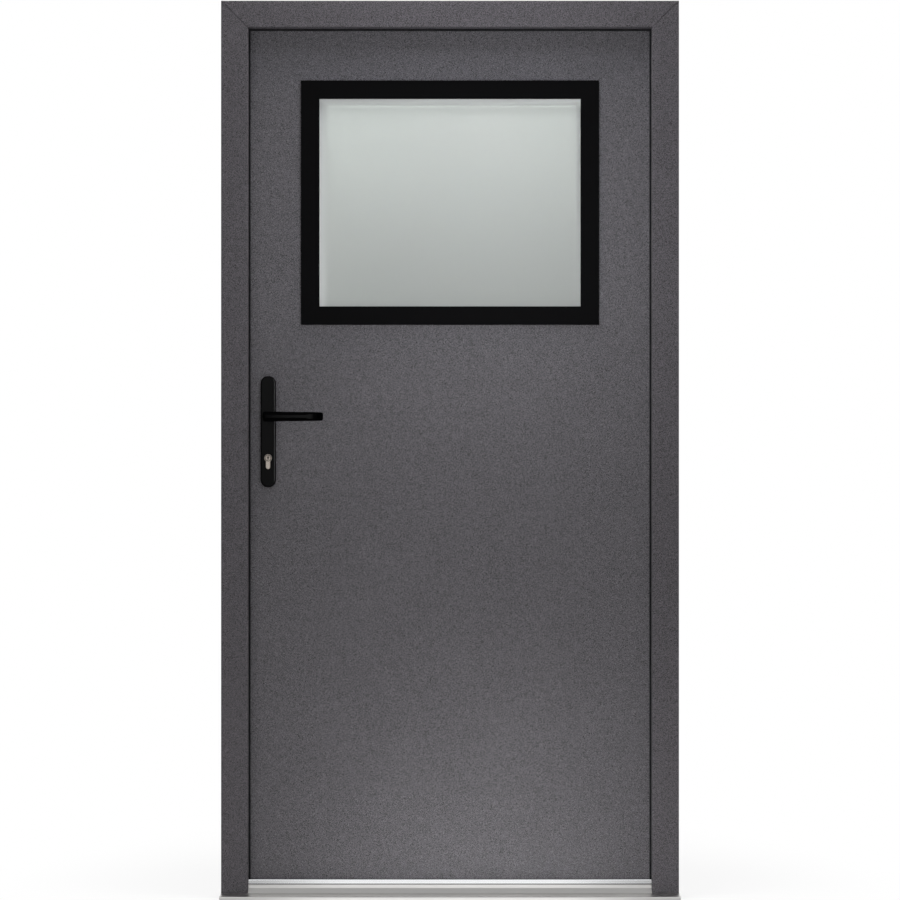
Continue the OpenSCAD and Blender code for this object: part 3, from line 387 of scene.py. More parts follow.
# %% [markdown]
# ## Black plastic, black handle coat and rubber
# Deep blacks differ only in how they shine. The window trim is moulded plastic with a soft satin
# grain, the handle has a smooth baked lacquer, and the seals are matt rubber with a dusting of
# talc. The lever has its own copy of the lacquer, darker and less shiny than the plate's: painted
# shade for the dark that the lever reflects. Their base colours are close to zero, so the
# highlights do the drawing.

# %% Blacks
PATCH_DARK, PATCH_BRIGHT = 0.65, 1.35
TALC_FROM, TALC_FULL = 0.35, 0.85


def black_moulding(name, colour, rough, gloss, grains, depth):
    tree, place = new_finish(name)
    patch = noise(tree, place, scale=14.0, detail=3.0)
    grain = noise(tree, place, scale=grains, rough=0.6)
    surface(tree, {
        "Base Color": tree.mix(
            0.5 * patch + 0.5 * grain, tinted(colour, PATCH_DARK), tinted(colour, PATCH_BRIGHT)
        ),
        "Roughness": rough + patch.swing(0.14) + grain.swing(0.10),
        "Specular IOR Level": gloss,
        "Normal": bumps(tree, grain, depth),
    })


def rubber(name, bare, dusted):
    tree, place = new_finish(name)
    talc = noise(tree, place, scale=55.0, detail=5.0, rough=0.7)
    grain = noise(tree, place, scale=900.0, detail=1.0)
    surface(tree, {
        "Base Color": tree.mix(talc.within(TALC_FROM, TALC_FULL), tinted(bare), tinted(dusted)),
        "Roughness": 0.66 + talc.swing(0.20),
        "Specular IOR Level": 0.12,
        "Normal": bumps(tree, grain, depth=0.0002),
    })


LACQUER = {"grains": 1200.0, "depth": 0.00002}
black_moulding("black_plastic", (0.0026, 0.0026, 0.0028), 0.50, 0.025, grains=700.0, depth=0.0002)
black_moulding("black_handle", (0.0012, 0.0012, 0.0013), 0.18, 0.055, **LACQUER)
# The lever's copy of the lacquer is darker and duller than the plate's: painted shade.
black_moulding("black_lever_shaded", (0.0005, 0.0005, 0.0006), 0.12, 0.014, **LACQUER)
rubber("black_rubber", (0.006, 0.006, 0.007), (0.020, 0.020, 0.021))
print("blacks", [name for name in finishes if name.startswith("black")])

# %% [markdown]
# ## Bright metals
# The threshold is drawn aluminium: fine lines run along its length. Stretching the noise more than
# a hundred times along X makes those lines. Below its bright cap the threshold is painted black, cut
# off by height: painted shade for the gap under the cap. Plated steel gets brush marks and faint
# clouds of the passivation colour. The key cylinder has the warmer tone of satin nickel, and it is
# painted black inside the keyway and down in the joint round the plug: painted shade in those
# recesses. The painted shade follows the cylinder, so its place is read from the imported model
# first.

# %% Helpers: places and sizes read from the imported model
MM = 0.001


def at(*place):
    """A place in millimetres as Blender's metres."""
    return tuple(v * MM for v in place)


def in_mm(lengths):
    """Metres as millimetres, without the noise of the last digits."""
    return [round(v / MM, 3) for v in lengths]


def box_mm(node):
    """Lowest and highest corner of a CAD piece."""
    return [in_mm(corner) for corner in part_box(node)]


def joint_place(name):
    """A point on a joint's axis."""
    return in_mm(next(joint["pos_m"] for joint in frame["joints"] if joint["name"] == name))


AXIS_X, MID_Y, LEVER_Z = joint_place("lever_turn")
KEY_Z = joint_place("key_turn")[2]
PLUG_END, PLUG_INNER_END = (corner[1] for corner in box_mm("cylinder_plug_outer"))
print("handle axis at x", AXIS_X, "mm, lever at height", LEVER_Z, "and key at", KEY_Z)

# %% Metals
# Black for painted shade: the gap under the threshold's cap, the keyway and the plug's joint.
PAINTED_SHADE_BLACK = grey(0.008)
ALONG_X, ALONG_Y, ALONG_Z = (6.0, 900.0, 900.0), (900.0, 60.0, 900.0), (700.0, 700.0, 8.0)
RIB_FOOT = 31.6
# How far the painted shade reaches round the plug and in the keyway.
PLUG_R, JOINT_HALF = 6.5, 0.8
KEYWAY_SHADE_R, KEYWAY_SHADE_DOWN = 5.5, 0.6


def drawn_metal(name, dark, bright, rough, stretch, depth, painted_shade=None):
    """Metal with lines along one axis, painted black as shade where the given mask of the tree and the place is 1.
    """
    tree, place = new_finish(name)
    lines = noise(tree, drawn_out(tree, place, stretch), scale=1.0, detail=3.0, rough=0.65)
    clouds = noise(tree, place, scale=22.0, detail=4.0, rough=0.6)
    metal = 1.0 - painted_shade(tree, place) if painted_shade else 1.0
    bare = tree.mix(0.6 * lines + 0.4 * clouds, tinted(dark), tinted(bright))
    surface(tree, {
        "Base Color": tree.mix(metal, PAINTED_SHADE_BLACK, bare),
        "Metallic": metal,
        "Roughness": rough + lines.swing(0.16) + clouds.swing(0.12),
        "Normal": bumps(tree, lines, depth, strength=0.35),
    })


# Painted shade below the threshold's cap.
def rib_painted_shade(tree, place):
    """1 below the threshold's cap, where shade is painted black."""
    return 1.0 - tree.axis(place, "Z").above(RIB_FOOT * MM)


# Painted shade inside the keyway and in the joint round the plug.
def key_shadow(tree, place):
    """1 inside the keyway and down in the joint round the plug."""
    middle = at(AXIS_X, MID_Y, KEY_Z)
    from_axis = tree.add("VectorMath", {"operation": "SUBTRACT"}, {0: place, 1: middle})
    along = tree.axis(from_axis, "Y").size()
    flat = tree.add("VectorMath", {"operation": "MULTIPLY"}, {0: from_axis, 1: (1.0, 0.0, 1.0)})
    radius = tree.add("VectorMath", {"operation": "LENGTH"}, {0: flat}, out="Value")
    deep = 1.0 - along.above((MID_Y - PLUG_END - KEYWAY_SHADE_DOWN) * MM)
    in_keyway = 1.0 - radius.above(KEYWAY_SHADE_R * MM)
    in_joint = 1.0 - (radius - PLUG_R * MM).size().above(JOINT_HALF * MM)
    return deep * in_keyway.at_least(in_joint)


drawn_metal("bright_aluminium", (0.80, 0.79, 0.775), (0.95, 0.94, 0.925), rough=0.34,
            stretch=ALONG_X, depth=0.00012)
drawn_metal("rib_aluminium", (0.86, 0.88, 0.89), (0.98, 0.99, 1.0), rough=0.22,
            stretch=ALONG_X, depth=0.00006, painted_shade=rib_painted_shade)
drawn_metal("zinc_steel", (0.42, 0.43, 0.45), (0.66, 0.66, 0.64), rough=0.36,
            stretch=ALONG_Z, depth=0.00008)
drawn_metal("satin_nickel", (0.40, 0.35, 0.31), (0.60, 0.54, 0.48), rough=0.30,
            stretch=ALONG_Y, depth=0.00005, painted_shade=key_shadow)
print("metals", [name for name in finishes if name.endswith(("aluminium", "steel", "nickel"))])

# %% [markdown]
# ## Glass
# The outer pane is etched: light comes through, but no picture does. A rough surface that is partly
# see-through and partly milky gives that, with a very fine etched grain. Beside the trim less light
# comes from behind, and painted light makes up for it: a pale diffuse border is mixed in at the top
# and at the sides, more at the left than at the right, and along the top the pane's colour is painted
# lighter too. The inner pane is plain float glass.

# %% Etched and clear glass
GLASS_IOR = 1.5
MILKY_DARK, MILKY_PALE = (0.407, 0.413, 0.406), (0.421, 0.428, 0.421)
# Painted light: the pane's colour lighter along the top, and a pale diffuse border beside the trim, stronger at
# the left than at the right.
PAINTED_LIGHT_TOP, PAINTED_LIGHT_TOP_Z = (0.72, 0.735, 0.72), (1.760, 1.782)
PAINTED_LIGHT_BORDER, PAINTED_LIGHT_BORDER_Z, PAINTED_LIGHT_BORDER_X = (0.66, 0.683, 0.67), (1.7695, 1.7775), (0.2680, 0.2905)
PAINTED_LIGHT_AT_TOP, PAINTED_LIGHT_AT_LEFT, PAINTED_LIGHT_AT_RIGHT = 0.72, 0.78, 0.20


def etched_glass(name):
    tree, place = new_finish(name)
    clouds = noise(tree, place, scale=3.0, detail=3.0)
    grain = noise(tree, place, scale=1300.0, detail=1.0)
    right, height = tree.axis(place, "X"), tree.axis(place, "Z")
    milky = tree.mix(0.7 * clouds + 0.3 * grain, tinted(MILKY_DARK), tinted(MILKY_PALE))
    etched = tree.add("BsdfPrincipled", None, {
        # painted light: the colour is lighter along the top of the pane
        "Base Color": tree.mix(height.within(*PAINTED_LIGHT_TOP_Z), milky, tinted(PAINTED_LIGHT_TOP)),
        "Roughness": 0.46 + grain.swing(0.10),
        "IOR": GLASS_IOR,
        "Transmission Weight": 0.80,
        "Specular IOR Level": 0.35,
        "Normal": bumps(tree, grain, depth=0.00005, strength=0.25),
    })
    # painted light: a pale diffuse border beside the trim
    painted_light_border = tree.add("BsdfDiffuse", None, {"Color": tinted(PAINTED_LIGHT_BORDER)})
    at_top = PAINTED_LIGHT_AT_TOP * height.within(*PAINTED_LIGHT_BORDER_Z)
    at_left = PAINTED_LIGHT_AT_LEFT * (0.0 - right).within(*PAINTED_LIGHT_BORDER_X)
    at_right = PAINTED_LIGHT_AT_RIGHT * right.within(*PAINTED_LIGHT_BORDER_X)
    share = at_top.at_least(at_left).at_least(at_right)
    pane = tree.add("MixShader", None, {0: share, 1: etched, 2: painted_light_border})
    tree.add("OutputMaterial", None, {"Surface": pane})


def clear_glass(name, green, pale):
    tree, place = new_finish(name)
    film = noise(tree, place, scale=5.0, detail=4.0, rough=0.6)
    surface(tree, {
        "Base Color": tree.mix(film, tinted(green), tinted(pale)),
        "Roughness": 0.02 + 0.05 * film,
        "IOR": GLASS_IOR,
        "Transmission Weight": 1.0,
    })


etched_glass("frosted_glass")
clear_glass("clear_glass", (0.86, 0.93, 0.90), (0.93, 0.97, 0.95))
print("glass", [name for name in finishes if name.endswith("glass")])

# %% [markdown]
# ## What is inside the leaf
# Timber stiles and a foam core fill the leaf. Little of them shows, only at the leaf's edges and
# round the lock, but they get grain and cells all the same.

# %% Timber and foam
RINGS_ALONG_Z, PORES_ALONG_Z = (70.0, 70.0, 2.2), (1400.0, 1400.0, 30.0)
RING_FROM, RING_FULL = 0.3, 0.7


def timber(name, dark, pale):
    tree, place = new_finish(name)
    rings = noise(tree, drawn_out(tree, place, RINGS_ALONG_Z), scale=1.0, detail=4.0, rough=0.6)
    pores = noise(tree, drawn_out(tree, place, PORES_ALONG_Z), scale=1.0)
    grain = 0.8 * rings.within(RING_FROM, RING_FULL) + 0.2 * pores
    surface(tree, {
        "Base Color": tree.mix(grain, tinted(dark), tinted(pale)),
        "Roughness": 0.62 + pores.swing(0.2),
        "Normal": bumps(tree, pores, depth=0.0002),
    })


def foam(name, dark, pale):
    tree, place = new_finish(name)
    bubbles = cells(tree, place, 700.0, "Distance")
    surface(tree, {
        "Base Color": tree.mix(bubbles, tinted(dark), tinted(pale)),
        "Roughness": 0.85 + bubbles.swing(0.1),
        "Normal": bumps(tree, bubbles, depth=0.0004, strength=0.5),
    })


timber("timber", (0.30, 0.16, 0.07), (0.55, 0.36, 0.19))
foam("foam_core", (0.62, 0.55, 0.36), (0.82, 0.76, 0.56))
print("inside the leaf", finishes["timber"].name, finishes["foam_core"].name)

# %% [markdown]
# ## Finishes onto the CAD pieces
# The record says which finish each CAD piece has. Only the threshold's bright cap differs from the
# rest of its slot: it is polished, where the sill below it is satin.

# %% Assign the finishes
OWN_FINISH = {"threshold_rib": "rib_aluminium"}
slot_of = {part["node"]: part["material_slot"] for part in frame["record"]["subparts"]}
for name, slot_name in slot_of.items():
    nodes[name].material_slots[0].material = finishes[OWN_FINISH.get(name, slot_name)]
print("finishes assigned to", len(slot_of), "CAD pieces")

# %% [markdown]
# ## Window trim
# Inside and outside, a black moulded frame holds the glass. It is one section carried round the
# window with mitred corners, so the section is drawn once, its visible corners are rounded, and it
# is swept by placing it at the four corners. Its outer size and its depths come from the boxes of
# the CAD pieces.

# %% Helpers: rounded corners, meshes and edges
ARC_STEPS = 6
TRIM_CREASE, PLATE_CREASE, LEVER_CREASE, METAL_CREASE = 32.0, 40.0, 38.0, 30.0


def rounded(points, steps=ARC_STEPS):
    """Corners (a, b, radius) of a closed outline turned into points with arcs."""
    out = []
    count = len(points)
    for i, (a, b, radius) in enumerate(points):
        here = Vector((a, b))
        if radius <= 0.0:
            out.append((a, b))
            continue
        back = (Vector(points[i - 1][:2]) - here).normalized()
        ahead = (Vector(points[(i + 1) % count][:2]) - here).normalized()
        half = back.angle(ahead) / 2.0
        reach = radius / math.tan(half)
        middle = here + (back + ahead).normalized() * (radius / math.sin(half))
        start, end = here + back * reach - middle, here + ahead * reach - middle
        sweep = start.angle(end)
        for k in range(steps + 1):
            t = k / steps
            way = start * math.sin((1.0 - t) * sweep) + end * math.sin(t * sweep)
            out.append(tuple(middle + way / math.sin(sweep)))
    return out


def scaled(points):
    return [at(*point) for point in points]


def settle(obj):
    """Turn the object's modifiers into plain mesh."""
    shown = obj.evaluated_get(bpy.context.evaluated_depsgraph_get())
    mesh = bpy.data.meshes.new_from_object(shown)
    obj.modifiers.clear()
    obj.data = mesh
    return obj


def smooth_faces(obj, crease):
    """Smooth shading; edges sharper than the crease stay crisp and flat faces stay flat."""
    obj.data.shade_smooth()
    obj.data.set_sharp_from_angle(angle=math.radians(crease))
    obj.modifiers.new("flat_faces_lead", "WEIGHTED_NORMAL").keep_sharp = True
    return settle(obj)


def swept_ring(name, section, half, mid_z, finish):
    """A section of (offset, y) points in metres, carried round a rectangle with mitred corners."""
    bm = bmesh.new()
    rings = [
        [bm.verts.new((sx * (half[0] + o), y, mid_z + sz * (half[1] + o))) for o, y in section]
        for sx, sz in CORNERS
    ]
    for a in range(4):
        for k in range(len(section)):
            j, b = (k + 1) % len(section), (a + 1) % 4
            bm.faces.new((rings[a][k], rings[b][k], rings[b][j], rings[a][j]))
    bmesh.ops.recalc_face_normals(bm, faces=bm.faces)
    return smooth_faces(mesh_object(name, bm, finish), TRIM_CREASE)


def stands_for(obj, body, *replaced):
    """The piece rides on a body and hides the CAD nodes."""
    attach(obj, body)
    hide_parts(*replaced)


print("rings, rounded outlines and stand-ins can be made")

# %% Helpers: layered and turned shapes, cuts and screw holes
WELD = 2e-6
SCREW_PLAY, HOLE_OVER = 0.15, 2.0
BIG_SCREW, TRIM_SCREW = (4.2, 2.1, 2.1), (3.6, 1.8, 1.8)


def stacked(name, layers, finish=None):
    """A closed skin through rings of points that all have the same count."""
    bm = bmesh.new()
    rings = [[bm.verts.new(p) for p in ring] for ring in layers]
    for low, high in zip(rings, rings[1:]):
        for k in range(len(low)):
            j = (k + 1) % len(low)
            bm.faces.new((low[k], low[j], high[j], high[k]))
    bm.faces.new(rings[0])
    bm.faces.new(rings[-1])
    bmesh.ops.recalc_face_normals(bm, faces=bm.faces)
    return mesh_object(name, bm, finish)


def turned(name, profile, place, axis, finish=None, sides=64):
    """A turned shape: (radius, distance along the axis) pairs, closed at both ends."""
    facing = Vector((0.0, 0.0, 1.0)).rotation_difference(Vector(axis)).to_matrix()
    layers = []
    for radius, along in scaled(profile):
        ring = [
            Vector((radius * math.cos(t), radius * math.sin(t), along))
            for t in (2.0 * math.pi * k / sides for k in range(sides))
        ]
        layers.append([Vector(at(*place)) + facing @ p for p in ring])
    return stacked(name, layers, finish)


def welded(obj):
    """Join the points that a cut left together, drop faces without area, split many-sided faces."""
    bm = bmesh.new()
    bm.from_mesh(obj.data)
    bmesh.ops.remove_doubles(bm, verts=bm.verts, dist=WELD)
    bmesh.ops.dissolve_degenerate(bm, dist=WELD, edges=bm.edges)
    wide = [face for face in bm.faces if len(face.verts) > 4]
    bmesh.ops.triangulate(bm, faces=wide, ngon_method="BEAUTY")
    bm.to_mesh(obj.data)
    bm.free()
    return obj


def combine(obj, operation, *others):
    """Boolean with other objects, which are used up."""
    for other in others:
        step = obj.modifiers.new(operation.lower(), "BOOLEAN")
        step.operation, step.solver, step.object = operation, "EXACT", other
    settle(obj)
    for other in others:
        bpy.data.objects.remove(other)
    welded(obj)


def sunk_hole(place, facing, screw, depth):
    """Cutter for a countersunk screw whose head is flush with the face at a place."""
    head_r, head_h, shank_r = screw
    profile = [(shank_r + SCREW_PLAY, -depth), (shank_r + SCREW_PLAY, -head_h),
               (head_r + SCREW_PLAY, 0.0), (head_r + SCREW_PLAY, HOLE_OVER)]
    return turned("sunk_hole", profile, place, facing, sides=32)


print("holes for screws with heads of radius", BIG_SCREW[0], "and", TRIM_SCREW[0], "mm")

# %% Outer and inner trim
INWARD = (0.0, 1.0, 0.0)
LEAF_FRONT, LEAF_BACK = box_mm("leaf_skin_outer")[0][1], box_mm("leaf_skin_inner")[1][1]
TRIM_W, TRIM_R, SIGHT_OUTER_R, SIGHT_INNER_R = 41.0, 1.8, 1.2, 2.0
FOOT_NEAR, FOOT_FAR, FOOT_R = 17.5, 24.0, 0.5
WALL, WALL_R, LIP_W, LIP_T, LIP_R = 4.0, 0.6, 16.0, 3.0, 0.4
TRIM_HOLE_DEEP = 12.0
TRIM_SCREW_OFFSETS = ((312.75, 143.84), (181.04, 252.75))


def span(low, high):
    """Middle and half length of a stretch."""
    return (low + high) / 2.0, (high - low) / 2.0


(_, trim_front, trim_foot), (trim_right, foot_end, trim_top) = box_mm("window_trim_outer")
lip_front, trim_back = (corner[1] for corner in box_mm("window_trim_inner"))
window_z, trim_half_h = span(trim_foot, trim_top)
sight = at(trim_right - TRIM_W, trim_half_h - TRIM_W)
outer_section = rounded(scaled([
    (0.0, trim_front, SIGHT_OUTER_R), (TRIM_W, trim_front, TRIM_R), (TRIM_W, LEAF_FRONT, 0.0),
    (FOOT_FAR, LEAF_FRONT, 0.0), (FOOT_FAR, foot_end, FOOT_R), (FOOT_NEAR, foot_end, FOOT_R),
    (FOOT_NEAR, LEAF_FRONT, 0.0), (0.0, LEAF_FRONT, 0.0),
]))
inner_section = rounded(scaled([
    (0.0, trim_back, SIGHT_INNER_R), (0.0, lip_front, WALL_R), (LIP_W, lip_front, LIP_R),
    (LIP_W, lip_front + LIP_T, LIP_R), (WALL, lip_front + LIP_T, 0.0), (WALL, LEAF_BACK, 0.0),
    (TRIM_W, LEAF_BACK, 0.0), (TRIM_W, trim_back, TRIM_R),
]))
plastic = finishes["black_plastic"]
trim_outer = swept_ring("trim_outer", outer_section, sight, window_z * MM, plastic)
trim_inner = swept_ring("trim_inner", inner_section, sight, window_z * MM, plastic)
TRIM_PLACES = [
    (sx * dx, trim_back, window_z + sz * dz)
    for dx, dz in TRIM_SCREW_OFFSETS for sx in (-1, 1) for sz in (-1, 1)
]
sinks = [sunk_hole(place, INWARD, TRIM_SCREW, TRIM_HOLE_DEEP) for place in TRIM_PLACES]
combine(trim_inner, "DIFFERENCE", *sinks)
smooth_faces(trim_inner, TRIM_CREASE)
stands_for(trim_outer, "leaf", "window_trim_outer")
stands_for(trim_inner, "leaf", "window_trim_inner")
print("trim sight size", [round(2 * s, 3) for s in sight])

# %% [markdown]
# ## Handle plates
# A long plate with round ends carries the lever and the key cylinder. Its outline is stacked in
# layers that draw in along a quarter circle, which gives the soft front edge of a cast plate. The
# holes for the lever's neck and the cylinder are cut with booleans, as a cutter would.

# %% Outlines of plate and key cylinder
KEY_R, STEM_R, STEM_DROP = 8.5, 5.0, 19.5
KEY_TOP_STEPS, KEY_FOOT_STEPS = 40, 16
SIDES = (("outer", False), ("inner", True))


def mirrored_y(y, inside):
    """A depth of the outer handle, or the same depth on the inner one."""
    return 2.0 * MID_Y - y if inside else y


def outward(inside):
    """The direction away from the leaf."""
    return (0.0, 1.0 if inside else -1.0, 0.0)


def rounded_rectangle(half_w, half_h, radius, steps=10):
    return rounded([(sx * half_w, sz * half_h, radius) for sx, sz in CORNERS], steps)


def key_outline(grow=0.0):
    """Outline of a profile cylinder round its plug's axis: a circle with a stem below."""
    big, stem = KEY_R + grow, STEM_R + grow
    hip = -math.sqrt(big * big - stem * stem)
    a0 = math.atan2(hip, stem)
    top = [a0 + (math.pi - 2.0 * a0) * k / KEY_TOP_STEPS for k in range(KEY_TOP_STEPS + 1)]
    foot = [math.pi + math.pi * k / KEY_FOOT_STEPS for k in range(KEY_FOOT_STEPS + 1)]
    return [(big * math.cos(t), big * math.sin(t)) for t in top] + [
        (stem * math.cos(t), -STEM_DROP + stem * math.sin(t)) for t in foot
    ]


def key_bar(name, y0, y1, grow=0.0, chamfer=0.0, finish=None):
    """The cylinder's outline as a bar along Y, with chamfered ends."""
    inner, outer = key_outline(grow - chamfer), key_outline(grow)
    ends = [(y0, inner), (y0 + chamfer, outer), (y1 - chamfer, outer), (y1, inner)]
    if chamfer <= 0.0:
        ends = [ends[0], ends[-1]]
    layers = [scaled([(AXIS_X + x, y, KEY_Z + z) for x, z in ring]) for y, ring in ends]
    return stacked(name, layers, finish)


print("key cylinder's outline has", len(key_outline()), "points")

# %% Plates with their openings
(plate_left, PLATE_FRONT, plate_foot), (plate_right, PLATE_BACK, plate_top) = box_mm(
    "handle_plate_outer"
)
PLATE_HALF_W = span(plate_left, plate_right)[1]
PLATE_Z, PLATE_HALF_H = span(plate_foot, plate_top)
PLATE_R, PLATE_EDGE, PLATE_EDGE_STEPS = 15.5, 4.0, 7
BOSS_PROFILE = [(10.9, -1.5), (10.9, 0.9), (10.4, 1.4)]
NECK_HOLE_R, NECK_HOLE_REACH = 9.3, 20.0
KEY_PLAY, OVERRUN = 0.3, 5.0
BOLT_DZ, BOLT_HOLE_DEEP = 110.0, 20.0
BOLT_PLACES = [
    (AXIS_X, mirrored_y(PLATE_FRONT, True), PLATE_Z + dz) for dz in (-BOLT_DZ, BOLT_DZ)
]


def handle_plate(name, inside):
    edge = [(0.0, PLATE_BACK), (0.0, PLATE_FRONT + PLATE_EDGE)]
    for k in range(1, PLATE_EDGE_STEPS + 1):
        t = math.radians(90.0 * k / PLATE_EDGE_STEPS)
        inset, rise = PLATE_EDGE * (1.0 - math.cos(t)), PLATE_EDGE * (1.0 - math.sin(t))
        edge.append((inset, PLATE_FRONT + rise))
    layers = []
    for inset, y in edge:
        ring = rounded_rectangle(PLATE_HALF_W - inset, PLATE_HALF_H - inset, PLATE_R - inset)
        layers.append(scaled([(AXIS_X + x, mirrored_y(y, inside), PLATE_Z + z) for x, z in ring]))
    plate = stacked(name, layers, finishes["black_handle"])
    place = (AXIS_X, mirrored_y(PLATE_FRONT, inside), LEVER_Z)
    combine(plate, "UNION", turned("boss", BOSS_PROFILE, place, outward(inside)))
    bore = [(NECK_HOLE_R, -NECK_HOLE_REACH), (NECK_HOLE_R, NECK_HOLE_REACH)]
    neck_hole = turned("neck_hole", bore, place, outward(inside))
    ends = sorted(mirrored_y(y, inside) for y in (PLATE_BACK + OVERRUN, PLATE_FRONT - OVERRUN))
    key_hole = key_bar("key_hole", *ends, grow=KEY_PLAY)
    places = BOLT_PLACES if inside else []
    sinks = [sunk_hole(p, INWARD, BIG_SCREW, BOLT_HOLE_DEEP) for p in places]
    combine(plate, "DIFFERENCE", neck_hole, key_hole, *sinks)
    return smooth_faces(plate, PLATE_CREASE)


for side, inside in SIDES:
    plate = handle_plate("plate_" + side, inside)
    stands_for(plate, "leaf", "handle_plate_" + side)
    plates_lit.objects.link(plate)
    print(plate.name, len(plate.data.polygons), "faces")

# %% [markdown]
# ## Levers
# The lever is a bar that tapers towards its tip and bends back to the door there, so that a sleeve
# cannot catch. Its section lies between an ellipse and a rectangle, with a rounder front. The bar
# follows a rule, so it is swept from rings of points, and the turned neck is joined on.

# %% Section of the lever
BAR_Y, BAR_T, BAR_BACK, BAR_LEN = -32.0, 12.0, 8.0, 126.0
ROOT_H, TIP_H = 22.2, 19.2
BEND_R, BEND_ANGLE = 20.0, math.radians(62.0)
RUN = BAR_BACK + BAR_LEN - (BEND_R + BAR_T / 2.0) * math.sin(BEND_ANGLE)
PATH = RUN + BEND_R * BEND_ANGLE
ROOT_ROUND_SHARE, TIP_ROUND_SHARE = 0.54, 0.28
ROOT_ROUND, TIP_ROUND = ROOT_ROUND_SHARE * BAR_T, TIP_ROUND_SHARE * BAR_T
ROOT_FULL_SHARE, TIP_FULL_SHARE, LOW_HEIGHT_SHARE = 0.5, 0.72, 0.25
FLAT_FROM, FLAT_OVER = 90.0, 14.0
FRONT_POWER, ROUND_POWER, FLAT_POWER = 0.8, 0.85, 0.42
LEVER_SIDES = 72


def soft_power(v, p):
    return math.copysign(abs(v) ** p, v)


def fullness(s):
    """How full the section is near the bar's two ends."""
    root = min(1.0, s / ROOT_ROUND)
    tip = min(1.0, (PATH - s) / TIP_ROUND)
    root_arc, tip_arc = (math.sqrt(1.0 - (1.0 - share) ** 2) for share in (root, tip))
    near_root = ROOT_FULL_SHARE + (1.0 - ROOT_FULL_SHARE) * root_arc
    near_tip = TIP_FULL_SHARE + (1.0 - TIP_FULL_SHARE) * tip_arc
    return min(near_root, near_tip)


def lever_ring(s, shrink=1.0, bulge=0.0):
    """Points of the section at a distance along the bar."""
    turn = max(0.0, s - RUN) / BEND_R
    x = min(s, RUN) + BEND_R * math.sin(turn) + bulge * math.cos(turn)
    y = BEND_R * (1.0 - math.cos(turn)) + bulge * math.sin(turn)
    full = fullness(s)
    height_share = LOW_HEIGHT_SHARE + (1.0 - LOW_HEIGHT_SHARE) * full
    half_h = (ROOT_H + (TIP_H - ROOT_H) * s / PATH) / 2.0 * height_share * shrink
    half_t = BAR_T / 2.0 * full * shrink
    flat = min(1.0, max(0.0, (s - FLAT_FROM) / FLAT_OVER))
    edge = ROUND_POWER + (FLAT_POWER - ROUND_POWER) * flat * flat * (3.0 - 2.0 * flat)
    ring = []
    for k in range(LEVER_SIDES):
        a = 2.0 * math.pi * k / LEVER_SIDES
        across = half_t * soft_power(math.cos(a), FRONT_POWER)
        ring.append((
            AXIS_X - BAR_BACK + x - across * math.sin(turn),
            BAR_Y + y + across * math.cos(turn),
            LEVER_Z + half_h * soft_power(math.sin(a), edge),
        ))
    return ring


print("lever bar is straight for", round(RUN, 1), "mm of", round(PATH, 1))

# %% Lever sweep
END_STEPS, RUN_STEPS, BEND_STEPS = 9, 26, 14
CAP_SHARES, CAP_BULGE = (0.25, 0.5, 0.72, 0.88), 0.5
NECK_PROFILE = [
    (6.0, -1.0), (9.6, -2.0), (9.9, -5.5), (9.7, -7.0), (9.35, -9.5), (9.1, -12.5), (9.0, -16.0),
    (9.0, -51.2), (8.6, -51.7),
]


def lever(name, inside):
    tip_start = PATH - TIP_ROUND
    quarter = [math.pi / 2.0 * k / END_STEPS for k in range(END_STEPS + 1)]
    stations = [ROOT_ROUND * (1.0 - math.cos(a)) for a in quarter[:-1]]
    stations += [ROOT_ROUND + (RUN - ROOT_ROUND) * k / RUN_STEPS for k in range(RUN_STEPS)]
    stations += [RUN + (tip_start - RUN) * k / BEND_STEPS for k in range(BEND_STEPS)]
    stations += [tip_start + (PATH - tip_start) * math.sin(a) for a in quarter]
    caps = [(share, CAP_BULGE * (1.0 - share * share)) for share in CAP_SHARES]
    rings = [lever_ring(0.0, share, -bulge) for share, bulge in caps]
    rings += [lever_ring(s) for s in stations]
    rings += [lever_ring(PATH, share, bulge) for share, bulge in reversed(caps)]
    layers = [scaled([(x, mirrored_y(y, inside), z) for x, y, z in ring]) for ring in rings]
    bar = stacked(name, layers, finishes["black_lever_shaded"])
    place = (AXIS_X, mirrored_y(BAR_Y, inside), LEVER_Z)
    combine(bar, "UNION", turned("neck", NECK_PROFILE, place, outward(inside), sides=72))
    return smooth_faces(bar, LEVER_CREASE)


for side, inside in SIDES:
    bar = lever("lever_" + side + "_bar", inside)
    stands_for(bar, "handle", "lever_" + side)
    levers_lit.objects.link(bar)
    shadeless.objects.link(bar)
    print(bar.name, len(bar.data.polygons), "faces")
for member in shadeless.collection_objects:
    member.light_linking.link_state = "EXCLUDE"

# %% [markdown]
# ## Key cylinder
# A profile cylinder is a bar with a round top and a narrow stem, and a plug that turns in it. The
# small chamfers on its rims and the dark keyway are what the eye reads at this size, so they are
# modelled. The middle is open for the cam, as on the real one.

# %% Cylinder body
KEY_ENDS = [corner[1] for corner in box_mm("cylinder_body")]
KEY_CHAMFER, RIM, RIM_OVER = 0.5, 0.9, 0.1
BORE_R, BORE_REACH = 6.55, 60.0
CAM_HALF, CAM_DOWN, CAM_CLEAR = 5.6, 15.6, 33.0


def box_object(name, low, high):
    """A block between two corners, used as a cutter."""
    (x0, y0, z0), (x1, y1, z1) = low, high
    return stacked(name, [
        scaled([(x0, y0, z), (x1, y0, z), (x1, y1, z), (x0, y1, z)]) for z in (z0, z1)
    ])


